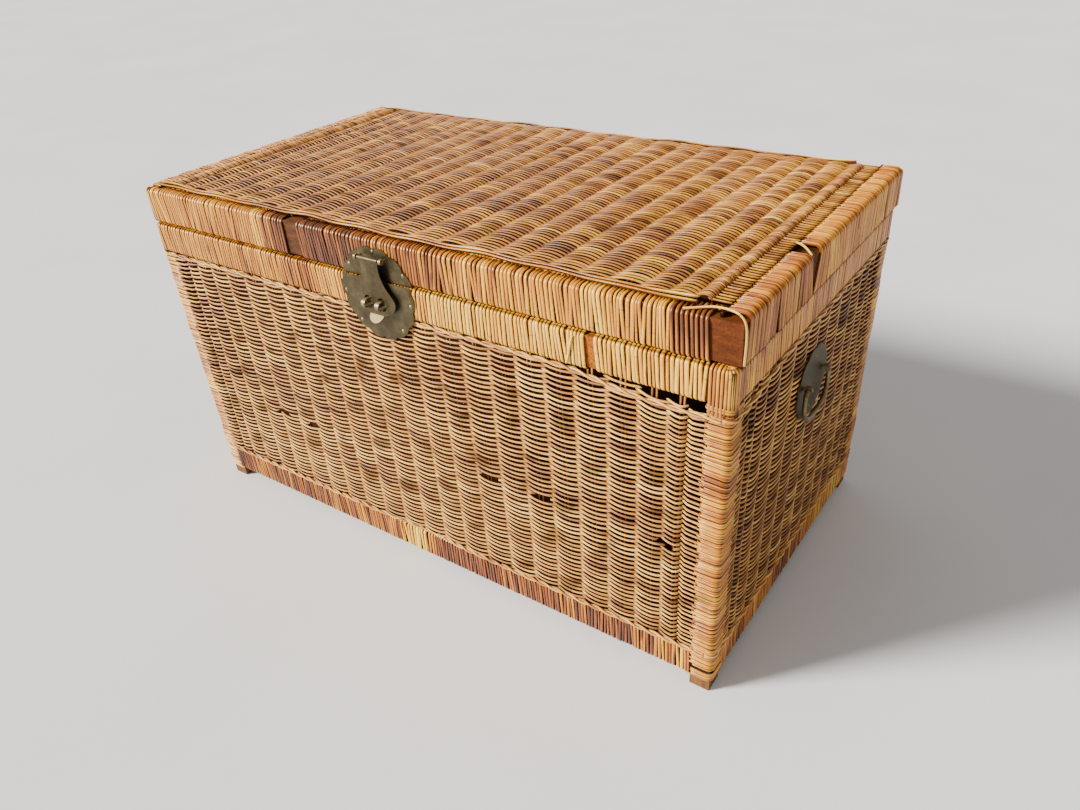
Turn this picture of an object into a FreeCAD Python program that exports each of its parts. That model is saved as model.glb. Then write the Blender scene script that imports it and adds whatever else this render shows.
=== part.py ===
"""Wicker storage trunk with a hinged lid, a brass hasp latch and two brass bail handles.

Millimetres. The origin is on the floor under the middle of the trunk: +X runs along the
front towards the right-hand end, +Y runs from the front to the back, +Z is up.
Every separate piece is one solid, or one group of equal fasteners, in its own STEP file.
"""
import FreeCAD, Part

import math
import os

Vector = FreeCAD.Vector

# ---- Driving dimensions -------------------------------------------------------------

# Body: the outside of the wicker is wider at the rim than at the base.
base_length = 876.0
base_depth = 483.0
rim_length = 892.0
rim_depth = 489.0
foot_height = 17.0
base_rail_top = 57.0
rim_bottom = 397.0
rim_top = 439.0

# Timber frame and the cane wound round it.
post_size = 25.0
cane = 3.0
panel_thickness = 10.0

# Bottom board and the battens under it.
batten_width = 35.0
batten_height = 14.0
batten_reach = 220.0
board_thickness = 5.0
board_gap = 1.0

# Lid: a timber frame with a woven panel laid over it.
seam_gap = 0.5
lid_length = 900.0
lid_front = -241.0
lid_rail_height = 42.5
lid_end_rail_width = 22.0
lid_end_wrap_top = 5.5
lid_weave_top = 495.0
lid_weave_overlap = 10.0
lid_weave_gap = 0.1
bare_corner_length = 30.0
end_skin_reach = 22.0

# Sheet brass and the small nails that hold it.
sheet = 1.2
nail_head_radius = 2.2
nail_head_height = 0.9
nail_shank_radius = 0.9
nail_shank_length = 9.0
nail_hole_radius = 0.95

# Latch: a round scalloped plate cut in two at the seam, with a hanging hasp.
latch_x = -5.0
latch_plate_radius = 58.5
latch_plate_centre_z = 421.0
latch_plate_lobes = 14
latch_plate_scallop = 3.0
hasp_pin_z = 467.0
hasp_pin_stand_off = 9.2
hasp_pin_radius = 1.5
hasp_pin_length = 46.0
hasp_pin_clearance = 0.08
hasp_knuckle_radius = 2.9
hasp_knuckle_width = 32.0
hasp_thickness = 1.5
hasp_length = 71.0
hasp_neck_half_width = 14.0
hasp_widest_half_width = 33.0
hasp_slot_reach = 11.0
hasp_slot_drop = 55.0
hasp_slot_width = 13.0
hasp_slot_height = 17.0
hasp_tab_radius = 11.0
hasp_tab_tilt = 40.0
eyelet_reach = 20.0
eyelet_width = 3.2
eyelet_radius = 3.4
eyelet_stem_radius = 1.5
staple_width = 5.5
staple_height = 10.6
staple_strap = 1.6
staple_stand_off = 16.5

# Handles: a round scalloped plate with two eyelets and a drop bail, one at each end.
handle_y = -15.0
handle_z = 311.0
handle_plate_radius = 47.0
handle_plate_lobes = 12
handle_plate_scallop = 2.6
bail_rod_radius = 2.8
bail_half_width = 38.0
bail_drop = 45.0
bail_corner_radius = 26.0
bail_tail = 11.0
bail_pivot_rise = 6.0
bail_elbow_radius = 5.6
bail_pivot_stand_off = 7.5
bail_eyelet_reach = 30.0
bail_eyelet_width = 4.0
bail_eyelet_wall = 1.9
bail_running_clearance = 0.09
bail_stem_radius = 2.0

# Butt hinges on the back, with the seam at the height of their pins.
hinge_reach = 280.0
hinge_length = 60.0
hinge_knuckles = 5
hinge_knuckle_gap = 0.4
hinge_leaf_height = 26.0
hinge_leaf_thickness = 1.6
hinge_knuckle_radius = 3.0
hinge_pin_radius = 1.5
hinge_running_clearance = 0.08
hinge_edge_clearance = 0.3
screw_head_radius = 3.0
screw_head_height = 1.2
screw_shank_radius = 1.3
screw_shank_length = 12.0
screw_hole_radius = 1.4

# ---- Derived sizes ------------------------------------------------------------------

taper_height = rim_top - foot_height
length_slope = (rim_length - base_length) / 2 / taper_height
depth_slope = (rim_depth - base_depth) / 2 / taper_height
lid_bottom = rim_top + seam_gap
lid_rail_bottom = lid_bottom + cane
lid_rail_top = lid_rail_bottom + lid_rail_height
lid_wrap_top = lid_rail_top + cane
seam_z = rim_top + seam_gap / 2
batten_bottom = foot_height + cane - 2.0
lid_back = rim_depth / 2
hinge_y = rim_depth / 2 + hinge_knuckle_radius + hinge_edge_clearance

ENDS = {"left": -1, "right": 1}
SIDES = {"front": -1, "back": 1}


def half_length(z):
    """Half the outside length of the wicker body at height z."""
    return base_length / 2 + (z - foot_height) * length_slope


def half_depth(z):
    """Half the outside depth of the wicker body at height z."""
    return base_depth / 2 + (z - foot_height) * depth_slope


# ---- Basic shapes -------------------------------------------------------------------


def box(x_span, y_span, z_span):
    """A block between two x, two y and two z values, in any order."""
    low = [min(span) for span in (x_span, y_span, z_span)]
    high = [max(span) for span in (x_span, y_span, z_span)]
    sizes = [b - a for a, b in zip(low, high)]
    return Part.makeBox(sizes[0], sizes[1], sizes[2], Vector(low[0], low[1], low[2]))


def tapered_block(z_span, outline):
    """A block whose x and y spans change with height, as outline(z) says."""
    wires = []
    for z in z_span:
        (x0, x1), (y0, y1) = outline(z)
        corners = [(x0, y0), (x1, y0), (x1, y1), (x0, y1), (x0, y0)]
        wires.append(Part.makePolygon([Vector(x, y, z) for x, y in corners]))
    solid = Part.makeLoft(wires, True, True)
    if solid.Volume < 0:
        solid.reverse()
    return solid


def rod(start, end, radius):
    """A round bar from one point to another."""
    axis = end - start
    return Part.makeCylinder(radius, axis.Length, start, axis)


def rounded_path(points, radii):
    """A path of straight runs through points, each square corner rounded to its radius."""
    edges = []
    start = points[0]
    for corner, following, radius in zip(points[1:], points[2:], radii):
        before = corner + (start - corner).normalize() * radius
        after = corner + (following - corner).normalize() * radius
        chord = (before + after) * 0.5
        middle = corner + (chord - corner) * (2 - math.sqrt(2))
        edges.append(Part.LineSegment(start, before).toShape())
        edges.append(Part.Arc(before, middle, after).toShape())
        start = after
    edges.append(Part.LineSegment(start, points[-1]).toShape())
    return Part.Wire(edges)


def domed_fastener(head_at, inward, head_radius, head_height, shank_radius, shank_length):
    """A domed head that stands outside head_at, and a shank that runs inward from it."""
    sphere_radius = (head_radius ** 2 + head_height ** 2) / (2 * head_height)
    rim_angle = math.degrees(math.asin((sphere_radius - head_height) / sphere_radius))
    outward = inward * -1
    centre = head_at - outward * (sphere_radius - head_height)
    dome = Part.makeSphere(sphere_radius, centre, outward, rim_angle, 90, 360)
    shank = rod(head_at, head_at + inward * shank_length, shank_radius)
    return dome.fuse(shank).removeSplitter()


def on_wall(shape, origin, across, up):
    """Moves a shape from wall axes (across, up, outward) to the trunk's own axes."""
    across = Vector(across).normalize()
    up = Vector(up).normalize()
    outward = across.cross(up)
    matrix = FreeCAD.Matrix(
        across.x, up.x, outward.x, origin.x,
        across.y, up.y, outward.y, origin.y,
        across.z, up.z, outward.z, origin.z,
        0, 0, 0, 1,
    )
    placed = shape.copy()
    placed.Placement = FreeCAD.Placement(matrix).multiply(placed.Placement)
    return placed


def scalloped_disc(radius, lobes, scallop, thickness):
    """A round plate in wall axes, its edge made of shallow lobes that meet in cusps."""
    step = 2 * math.pi / lobes
    inner = radius - scallop
    edges = []
    for lobe in range(lobes):
        start, middle, end = (lobe * step, (lobe + 0.5) * step, (lobe + 1) * step)
        points = [
            Vector(inner * math.sin(start), inner * math.cos(start), 0),
            Vector(radius * math.sin(middle), radius * math.cos(middle), 0),
            Vector(inner * math.sin(end), inner * math.cos(end), 0),
        ]
        edges.append(Part.Arc(*points).toShape())
    return Part.Face(Part.Wire(edges)).extrude(Vector(0, 0, thickness))


def ring_on_stem(width, ring_radius, bore_radius, stem_radius, stand_off):
    """An eyelet in wall axes: a ring whose bore runs across the wall, on a short stem."""
    ring = Part.makeCylinder(
        ring_radius, width, Vector(-width / 2, 0, stand_off), Vector(1, 0, 0)
    )
    stem = rod(Vector(0, 0, 0), Vector(0, 0, stand_off), stem_radius)
    bore = Part.makeCylinder(
        bore_radius, width + 2, Vector(-width / 2 - 1, 0, stand_off), Vector(1, 0, 0)
    )
    return ring.fuse(stem).cut(bore).removeSplitter()


# ---- Body frame ---------------------------------------------------------------------


def corner_post(end, side):
    """A square post from the floor to the rim's cane, its foot showing at the bottom."""

    def outline(z):
        x = end * (half_length(z) - cane)
        y = side * (half_depth(z) - cane)
        return (x - end * post_size, x), (y - side * post_size, y)

    return tapered_block((0, rim_top - cane), outline)


def wall_bar(z_span, wall, sign, from_skin, to_skin, from_corner):
    """A bar along one wall, between two depths under the wall's outside surface.

    It stops short of both corners by from_corner. A front or back wall's bar runs
    along X and an end wall's bar runs along Y.
    """

    def outline(z):
        along_half = half_length(z) if wall == "long" else half_depth(z)
        skin = half_depth(z) if wall == "long" else half_length(z)
        along = (-(along_half - from_corner), along_half - from_corner)
        through = (sign * (skin - to_skin), sign * (skin - from_skin))
        return (along, through) if wall == "long" else (through, along)

    return tapered_block(z_span, outline)


def frame_rail(z_span, wall, sign):
    """A timber rail that fits between two corner posts."""
    return wall_bar(z_span, wall, sign, cane, cane + post_size, cane + post_size)


def rim_rail(wall, sign):
    """The timber rail round the top of the body."""
    return frame_rail((rim_bottom + cane, rim_top - cane), wall, sign)


def base_rail(wall, sign):
    """The timber rail round the bottom of the body."""
    return frame_rail((foot_height + cane, base_rail_top - cane), wall, sign)


def rim_wrap_long(sign, posts):
    """Cane round the front or back rim rail and the heads of its two posts."""
    bar = wall_bar((rim_bottom, rim_top), "long", sign, 0, post_size + 2 * cane, 0)
    wrap = bar.cut(rim_rail("long", sign))
    for end in ENDS.values():
        wrap = wrap.cut(rim_rail("end", end))
    for post in posts:
        wrap = wrap.cut(post)
    return wrap


def rim_wrap_end(sign):
    """Cane round an end rim rail, between the front and back wraps."""
    depth = post_size + 2 * cane
    bar = wall_bar((rim_bottom, rim_top), "end", sign, 0, depth, depth)
    return bar.cut(rim_rail("end", sign))


def base_wrap(wall, sign):
    """Cane round a bottom rail, between the corner posts."""
    depth = post_size + 2 * cane
    bar = wall_bar((foot_height, base_rail_top), wall, sign, 0, depth, depth)
    return bar.cut(base_rail(wall, sign))


def woven_panel(wall, sign):
    """A woven wall between two posts, the bottom rail and the rim."""
    depth = cane + post_size
    return wall_bar((base_rail_top, rim_bottom), wall, sign, 0, panel_thickness, depth)


def corner_wrap(end, side):
    """Weavers round a corner post: a sleeve, open where panels and rails meet the post."""
    size = post_size + 2 * cane

    def outline(z):
        x = end * half_length(z)
        y = side * half_depth(z)
        return (x - end * size, x), (y - side * size, y)

    sleeve = tapered_block((foot_height, rim_bottom), outline)
    sleeve = sleeve.cut(corner_post(end, side))
    for wall, sign in (("long", side), ("end", end)):
        sleeve = sleeve.cut(woven_panel(wall, sign))
        sleeve = sleeve.cut(base_rail(wall, sign))
    return sleeve


def bottom_battens():
    """Two battens from front to back that carry the bottom board."""
    battens = []
    half_span = half_depth(batten_bottom) - post_size - 2 * cane
    for x in (-batten_reach, batten_reach):
        x_span = (x - batten_width / 2, x + batten_width / 2)
        z_span = (batten_bottom, batten_bottom + batten_height)
        battens.append(box(x_span, (-half_span, half_span), z_span))
    return Part.makeCompound(battens)


def bottom_board():
    """The thin board that closes the bottom, lying on the battens."""
    bottom = batten_bottom + batten_height
    inset = post_size + 2 * cane + board_gap
    x = half_length(foot_height) - inset
    y = half_depth(foot_height) - inset
    return box((-x, x), (-y, y), (bottom, bottom + board_thickness))


# ---- Lid ----------------------------------------------------------------------------

lid_half = lid_length / 2
lid_rail_z = (lid_rail_bottom, lid_rail_top)
front_rail_y = (lid_front + cane, lid_front + cane + post_size)
back_rail_y = (lid_back - cane - post_size, lid_back - cane)
lid_inner_front = front_rail_y[1] + cane
lid_inner_back = back_rail_y[0] - cane
lid_inner_x = lid_half - 2 * cane - lid_end_rail_width


def lid_rail_long(y_span):
    """The front or back rail of the lid, from end to end."""
    x = lid_half - cane
    return box((-x, x), y_span, lid_rail_z)


def lid_rail_end(end):
    """An end rail of the lid, between the front and back rails."""
    outer = end * (lid_half - cane)
    inner = outer - end * lid_end_rail_width
    return box((inner, outer), (front_rail_y[1], back_rail_y[0]), lid_rail_z)


def lid_wrap_long(y_span, x_span):
    """Cane round the front or back rail of the lid, over the length x_span."""
    y_outer = (min(y_span) - cane, max(y_span) + cane)
    bar = box(x_span, y_outer, (lid_bottom, lid_wrap_top))
    for rail_y in (front_rail_y, back_rail_y):
        bar = bar.cut(lid_rail_long(rail_y))
    for end in ENDS.values():
        bar = bar.cut(lid_rail_end(end))
    return bar


def lid_wrap_end(end):
    """The weavers that turn over an end rail, with the skin that runs on to the corners."""
    outer = end * lid_half
    x_span = (outer, end * lid_inner_x)
    y_span = (lid_inner_front, lid_inner_back)
    bar = box(x_span, y_span, (lid_bottom, lid_rail_top + lid_end_wrap_top))
    skin_y = (lid_inner_front - end_skin_reach, lid_inner_back + end_skin_reach)
    skin = box((outer, outer - end * cane), skin_y, (lid_bottom, lid_wrap_top))
    return bar.fuse(skin).cut(lid_rail_end(end)).removeSplitter()


def lid_wraps():
    """The four wraps, cut clear of each other; the front right corner is left bare."""
    ends = {name: lid_wrap_end(end) for name, end in ENDS.items()}
    x_full = (-lid_half, lid_half)
    x_front = (-lid_half, lid_half - cane - bare_corner_length)
    front = lid_wrap_long(front_rail_y, x_front)
    back = lid_wrap_long(back_rail_y, x_full)
    for wrap in ends.values():
        front = front.cut(wrap)
        back = back.cut(wrap)
    return {"front": front, "back": back, **ends}


def lid_woven_panel():
    """The woven top: it lies on the front and back rails and drops between them."""
    x = lid_inner_x - lid_weave_gap
    top_y = (lid_inner_front - lid_weave_overlap, lid_inner_back + lid_weave_overlap)
    top = box((-x, x), top_y, (lid_wrap_top, lid_weave_top))
    low_y = (lid_inner_front + lid_weave_gap, lid_inner_back - lid_weave_gap)
    low = box((-x, x), low_y, (lid_rail_top, lid_wrap_top))
    return top.fuse(low).removeSplitter()


# ---- Latch --------------------------------------------------------------------------

latch_upper_nail_angles = (-55, 0, 55)
latch_lower_nail_angles = (-95, -140, 140, 95)
latch_nail_circle = latch_plate_radius - 6.0


def latch_half(keep_above):
    """The part of the round latch plate above or below the seam, in wall axes."""
    disc = scalloped_disc(
        latch_plate_radius, latch_plate_lobes, latch_plate_scallop, sheet
    )
    split = seam_z - latch_plate_centre_z
    reach = 2 * latch_plate_radius
    if keep_above:
        window = box((-reach, reach), (split + seam_gap / 2, reach), (-1, sheet + 1))
    else:
        window = box((-reach, reach), (-reach, split - seam_gap / 2), (-1, sheet + 1))
    return disc.common(window)


def latch_origin(on_lid):
    """The middle of the latch plate, on the lid's or the rim's front."""
    y = lid_front if on_lid else -rim_depth / 2
    return Vector(latch_x, y, latch_plate_centre_z)


def on_front(shape, origin):
    """Places a shape from wall axes on the front of the trunk."""
    return on_wall(shape, origin, Vector(1, 0, 0), Vector(0, 0, 1))


def circle_points(angles, radius):
    """Points in wall axes on a circle, with angles in degrees from straight up."""
    turns = [math.radians(angle) for angle in angles]
    return [Vector(radius * math.sin(t), radius * math.cos(t), 0) for t in turns]


def drilled(plate, points, radius):
    """A plate in wall axes with a round hole at each point."""
    for point in points:
        plate = plate.cut(rod(point - Vector(0, 0, 1), point + Vector(0, 0, 9), radius))
    return plate


def wall_nails(points):
    """Domed nails in wall axes, their heads on a sheet of brass."""
    nails = [
        domed_fastener(
            point + Vector(0, 0, sheet), Vector(0, 0, -1), nail_head_radius,
            nail_head_height, nail_shank_radius, nail_shank_length,
        )
        for point in points
    ]
    return Part.makeCompound(nails)


def hasp_outline():
    """The hasp's edge in wall axes, from the pin down: a neck that opens to a round foot."""
    neck = hasp_neck_half_width
    wide = hasp_widest_half_width
    side = [
        (neck + 1.0, 0.0),
        (neck, -13.0),
        (neck + 3.5, -26.0),
        (wide - 9.0, -36.5),
        (wide, -50.0),
        (wide - 3.5, -60.0),
        (wide - 14.0, -67.5),
        (0.0, -hasp_length),
    ]
    right = [Vector(x, y, 0) for x, y in side]
    left = [Vector(-x, y, 0) for x, y in reversed(side)]
    curves = []
    for points in (right, left):
        curve = Part.BSplineCurve()
        curve.interpolate(points)
        curves.append(curve.toShape())
    closing = Part.LineSegment(left[-1], right[0]).toShape()
    return Part.Wire([curves[0], curves[1], closing])


def hasp_slot(x):
    """A tall slot with rounded corners, as a cutter in wall axes."""
    half = hasp_slot_width / 2
    straight = hasp_slot_height / 2 - half
    cutter = box((x - half, x + half), (-straight, straight), (-5, 5))
    for y in (-straight, straight):
        cutter = cutter.fuse(rod(Vector(x, y, -5), Vector(x, y, 5), half))
    cutter.translate(Vector(0, -hasp_slot_drop, 0))
    return cutter


def hasp():
    """The hanging hasp in wall axes: rolled knuckle, sheet, two slots and a finger tab."""
    sheet_solid = Part.Face(hasp_outline()).extrude(Vector(0, 0, hasp_thickness))
    sheet_solid.translate(Vector(0, 0, -hasp_thickness / 2))
    for x in (-hasp_slot_reach, hasp_slot_reach):
        sheet_solid = sheet_solid.cut(hasp_slot(x))
    tab = Part.makeCylinder(hasp_tab_radius, hasp_thickness)
    tab = tab.common(box((-30, 30), (-30, 1.0), (-5, 5)))
    tab.translate(Vector(0, 0, -hasp_thickness / 2))
    tab.rotate(Vector(0, 0, 0), Vector(1, 0, 0), -hasp_tab_tilt)
    tab.translate(Vector(0, 1.0 - hasp_length, 0))
    half = hasp_knuckle_width / 2
    knuckle = rod(Vector(-half, 0, 0), Vector(half, 0, 0), hasp_knuckle_radius)
    bore_radius = hasp_pin_radius + hasp_pin_clearance
    bore = rod(Vector(-half - 5, 0, 0), Vector(half + 5, 0, 0), bore_radius)
    return sheet_solid.fuse(tab).fuse(knuckle).cut(bore).removeSplitter()


def hasp_origin():
    """The middle of the hasp's pin."""
    return Vector(latch_x, lid_front - hasp_pin_stand_off, hasp_pin_z)


def latch_pin():
    """The pin that the hasp turns on, held by two eyelets."""
    half = Vector(hasp_pin_length / 2, 0, 0)
    return rod(hasp_origin() - half, hasp_origin() + half, hasp_pin_radius)


def latch_pin_eyelets():
    """The two eyelets that hold the pin off the upper plate."""
    stand_off = hasp_pin_stand_off - sheet
    eyelets = []
    for reach in (-eyelet_reach, eyelet_reach):
        eyelet = ring_on_stem(
            eyelet_width, eyelet_radius, hasp_pin_radius, eyelet_stem_radius, stand_off
        )
        origin = Vector(latch_x + reach, lid_front - sheet, hasp_pin_z)
        eyelets.append(on_front(eyelet, origin))
    return Part.makeCompound(eyelets)


def strap_staple():
    """A bent strap in wall axes: two legs off the wall, joined by a round bow."""

    def bow(half_height, reach):
        straight = reach - half_height
        lower = Vector(0, -half_height, straight)
        upper = Vector(0, half_height, straight)
        tip = Vector(0, 0, reach)
        foot_low = Vector(0, -half_height, 0)
        foot_high = Vector(0, half_height, 0)
        wire = Part.Wire([
            Part.LineSegment(foot_low, lower).toShape(),
            Part.Arc(lower, tip, upper).toShape(),
            Part.LineSegment(upper, foot_high).toShape(),
            Part.LineSegment(foot_high, foot_low).toShape(),
        ])
        return Part.Face(wire).extrude(Vector(staple_width, 0, 0))

    reach = staple_stand_off - sheet
    outer = bow(staple_height / 2, reach)
    inner = bow(staple_height / 2 - staple_strap, reach - staple_strap)
    staple = outer.cut(inner)
    staple.translate(Vector(-staple_width / 2, 0, 0))
    return staple


def latch_staples():
    """The two staples that pass through the hasp's slots and take a padlock."""
    staples = []
    z = hasp_pin_z - hasp_slot_drop
    for reach in (-hasp_slot_reach, hasp_slot_reach):
        origin = Vector(latch_x + reach, -rim_depth / 2 - sheet, z)
        staples.append(on_front(strap_staple(), origin))
    return Part.makeCompound(staples)


def latch_parts():
    """Every piece of the latch, by node name."""
    upper_nails = circle_points(latch_upper_nail_angles, latch_nail_circle)
    lower_nails = circle_points(latch_lower_nail_angles, latch_nail_circle)
    upper = drilled(latch_half(True), upper_nails, nail_hole_radius)
    lower = drilled(latch_half(False), lower_nails, nail_hole_radius)
    return {
        "latch_upper_plate": on_front(upper, latch_origin(True)),
        "latch_lower_plate": on_front(lower, latch_origin(False)),
        "latch_upper_nails": on_front(wall_nails(upper_nails), latch_origin(True)),
        "latch_lower_nails": on_front(wall_nails(lower_nails), latch_origin(False)),
        "latch_pin": latch_pin(),
        "latch_pin_eyelets": latch_pin_eyelets(),
        "latch_staples": latch_staples(),
        "hasp": on_front(hasp(), hasp_origin()),
    }


# ---- Handles ------------------------------------------------------------------------

handle_nail_angles = (0, 180)
handle_nail_circle = handle_plate_radius - 14.0
bail_pivot_z = handle_z + bail_pivot_rise


def on_end(shape, end, y, z):
    """Places a shape from wall axes on an end wall, leaning with it."""
    origin = Vector(end * half_length(z), y, z)
    up = Vector(end * length_slope, 0, 1)
    return on_wall(shape, origin, Vector(0, end, 0), up)


def bail():
    """A drop bail in wall axes: in-turned tails, two legs and a round bottom."""
    wide = bail_half_width
    tip = wide - bail_tail
    half = [Vector(-tip, 0, 0), Vector(-wide, 0, 0), Vector(-wide, -bail_drop, 0)]
    mirrored = [Vector(-point.x, point.y, 0) for point in reversed(half)]
    radii = [bail_elbow_radius, bail_corner_radius]
    path = rounded_path(half + mirrored, radii + radii[::-1])
    profile = Part.Wire(Part.makeCircle(bail_rod_radius, half[0], Vector(1, 0, 0)))
    return path.makePipeShell([profile], True, False)


def bail_pivot(end):
    """The middle of a bail's pivot line, off the plate on the leaning end wall."""
    centre = Vector(0, 0, bail_pivot_stand_off)
    pin = on_end(Part.Vertex(centre), end, handle_y, bail_pivot_z)
    return pin.Point


def handle_parts():
    """Every piece of both handles, by node name."""
    nail_points = circle_points(handle_nail_angles, handle_nail_circle)
    parts = {}
    nails = []
    eyelets = []
    for name, end in ENDS.items():
        plate = scalloped_disc(
            handle_plate_radius, handle_plate_lobes, handle_plate_scallop, sheet
        )
        plate = drilled(plate, nail_points, nail_hole_radius)
        parts[f"handle_{name}_plate"] = on_end(plate, end, handle_y, handle_z)
        nails.append(on_end(wall_nails(nail_points), end, handle_y, handle_z))
        for reach in (-bail_eyelet_reach, bail_eyelet_reach):
            bore = bail_rod_radius + bail_running_clearance
            eyelet = ring_on_stem(
                bail_eyelet_width, bore + bail_eyelet_wall, bore, bail_stem_radius,
                bail_pivot_stand_off,
            )
            eyelet = eyelet.cut(box((-9, 9), (-9, 9), (-1, sheet)))
            eyelets.append(on_end(eyelet, end, handle_y + reach, bail_pivot_z))
        upright = Vector(0, 0, 1)
        parts[f"handle_{name}_bail"] = on_wall(
            bail(), bail_pivot(end), Vector(0, end, 0), upright
        )
    parts["handle_nails"] = Part.makeCompound(nails)
    parts["handle_eyelets"] = Part.makeCompound(eyelets)
    return parts


# ---- Hinges -------------------------------------------------------------------------


def knuckle_spans(x, for_lid):
    """The x spans of the knuckles that belong to the lid's or the body's leaf."""
    step = hinge_length / hinge_knuckles
    first = 1 if for_lid else 0
    start = x - hinge_length / 2
    gap = hinge_knuckle_gap / 2
    return [
        (start + i * step + gap, start + (i + 1) * step - gap)
        for i in range(first, hinge_knuckles, 2)
    ]


def screw_points(x, for_lid):
    """The three screw centres of one leaf."""
    rise = hinge_leaf_height * 0.62
    z = seam_z + rise if for_lid else seam_z - rise
    y = rim_depth / 2 + hinge_leaf_thickness
    return [Vector(x + dx, y, z) for dx in (-hinge_length / 3, 0, hinge_length / 3)]


def hinge_leaf(x, for_lid):
    """One leaf of a butt hinge with its knuckles, on the back of the lid or the rim."""
    up = 1 if for_lid else -1
    y_span = (rim_depth / 2, rim_depth / 2 + hinge_leaf_thickness)
    near = seam_z + up * (hinge_knuckle_radius + hinge_edge_clearance)
    far = seam_z + up * (hinge_leaf_height + hinge_knuckle_radius)
    x_span = (x - hinge_length / 2, x + hinge_length / 2)
    leaf = box(x_span, y_span, (near, far))
    bore_radius = hinge_pin_radius + (hinge_running_clearance if for_lid else 0.0)
    for span in knuckle_spans(x, for_lid):
        start = Vector(span[0], hinge_y, seam_z)
        end = Vector(span[1], hinge_y, seam_z)
        leaf = leaf.fuse(rod(start, end, hinge_knuckle_radius))
        web_start = seam_z + up * hinge_edge_clearance
        leaf = leaf.fuse(box(span, y_span, (web_start, near)))
    bore_start = Vector(x_span[0] - 1, hinge_y, seam_z)
    bore_end = Vector(x_span[1] + 1, hinge_y, seam_z)
    leaf = leaf.cut(rod(bore_start, bore_end, bore_radius))
    for point in screw_points(x, for_lid):
        through = Vector(0, 2 * hinge_leaf_thickness, 0)
        leaf = leaf.cut(rod(point - through, point + through, screw_hole_radius))
    return leaf.removeSplitter()


def hinge_screws(for_lid):
    """The six screws of both hinges in the lid or in the body."""
    screws = [
        domed_fastener(
            point, Vector(0, -1, 0), screw_head_radius, screw_head_height,
            screw_shank_radius, screw_shank_length,
        )
        for x in (-hinge_reach, hinge_reach)
        for point in screw_points(x, for_lid)
    ]
    return Part.makeCompound(screws)


def hinge_pins():
    """The pins of both hinges."""
    pins = []
    for x in (-hinge_reach, hinge_reach):
        half = hinge_length / 2
        start = Vector(x - half, hinge_y, seam_z)
        end = Vector(x + half, hinge_y, seam_z)
        pins.append(rod(start, end, hinge_pin_radius))
    return Part.makeCompound(pins)


def hinge_parts():
    """Every piece of both hinges, by node name."""
    parts = {
        "hinge_pins": hinge_pins(),
        "hinge_screws_lid": hinge_screws(True),
        "hinge_screws_body": hinge_screws(False),
    }
    for name, end in ENDS.items():
        parts[f"hinge_{name}_lid_leaf"] = hinge_leaf(end * hinge_reach, True)
        parts[f"hinge_{name}_body_leaf"] = hinge_leaf(end * hinge_reach, False)
    return parts


# ---- Assembly -----------------------------------------------------------------------


def body_parts():
    """The frame, cane, woven walls and bottom of the body, by node name."""
    parts = {}
    for side_name, side in SIDES.items():
        posts = []
        for end_name, end in ENDS.items():
            post = corner_post(end, side)
            posts.append(post)
            parts[f"corner_post_{side_name}_{end_name}"] = post
            parts[f"corner_wrap_{side_name}_{end_name}"] = corner_wrap(end, side)
        parts[f"rim_rail_{side_name}"] = rim_rail("long", side)
        parts[f"rim_wrap_{side_name}"] = rim_wrap_long(side, posts)
        parts[f"base_rail_{side_name}"] = base_rail("long", side)
        parts[f"base_wrap_{side_name}"] = base_wrap("long", side)
        parts[f"woven_panel_{side_name}"] = woven_panel("long", side)
    for end_name, end in ENDS.items():
        parts[f"rim_rail_{end_name}"] = rim_rail("end", end)
        parts[f"rim_wrap_{end_name}"] = rim_wrap_end(end)
        parts[f"base_rail_{end_name}"] = base_rail("end", end)
        parts[f"base_wrap_{end_name}"] = base_wrap("end", end)
        parts[f"woven_panel_{end_name}"] = woven_panel("end", end)
    parts["bottom_battens"] = bottom_battens()
    parts["bottom_board"] = bottom_board()
    return parts


def lid_parts():
    """The frame, cane and woven top of the lid, by node name."""
    parts = {
        "lid_rail_front": lid_rail_long(front_rail_y),
        "lid_rail_back": lid_rail_long(back_rail_y),
        "lid_woven_panel": lid_woven_panel(),
    }
    for name, end in ENDS.items():
        parts[f"lid_rail_{name}"] = lid_rail_end(end)
    for name, wrap in lid_wraps().items():
        parts[f"lid_wrap_{name}"] = wrap
    return parts


def main():
    """Writes every piece to its own file."""
    os.makedirs("parts", exist_ok=True)
    parts = {}
    for group in (body_parts(), lid_parts(), latch_parts(), handle_parts(), hinge_parts()):
        parts.update(group)
    for name, shape in parts.items():
        if not shape.isValid():
            raise ValueError(f"{name} is not a valid shape")
        shape.exportStep(f"parts/{name}.step")
        print(f"{name}: {len(shape.Solids)} solid(s), {shape.Volume / 1000:.2f} cm3")
    for name, end in ENDS.items():
        print(f"{name} bail pivot", bail_pivot(end))
    print("hinge line", hinge_y, seam_z)
    print(len(parts), "parts")


main()
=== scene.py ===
import math

import bpy
import numpy as np
from mathutils import Euler, Matrix, Vector


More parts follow.
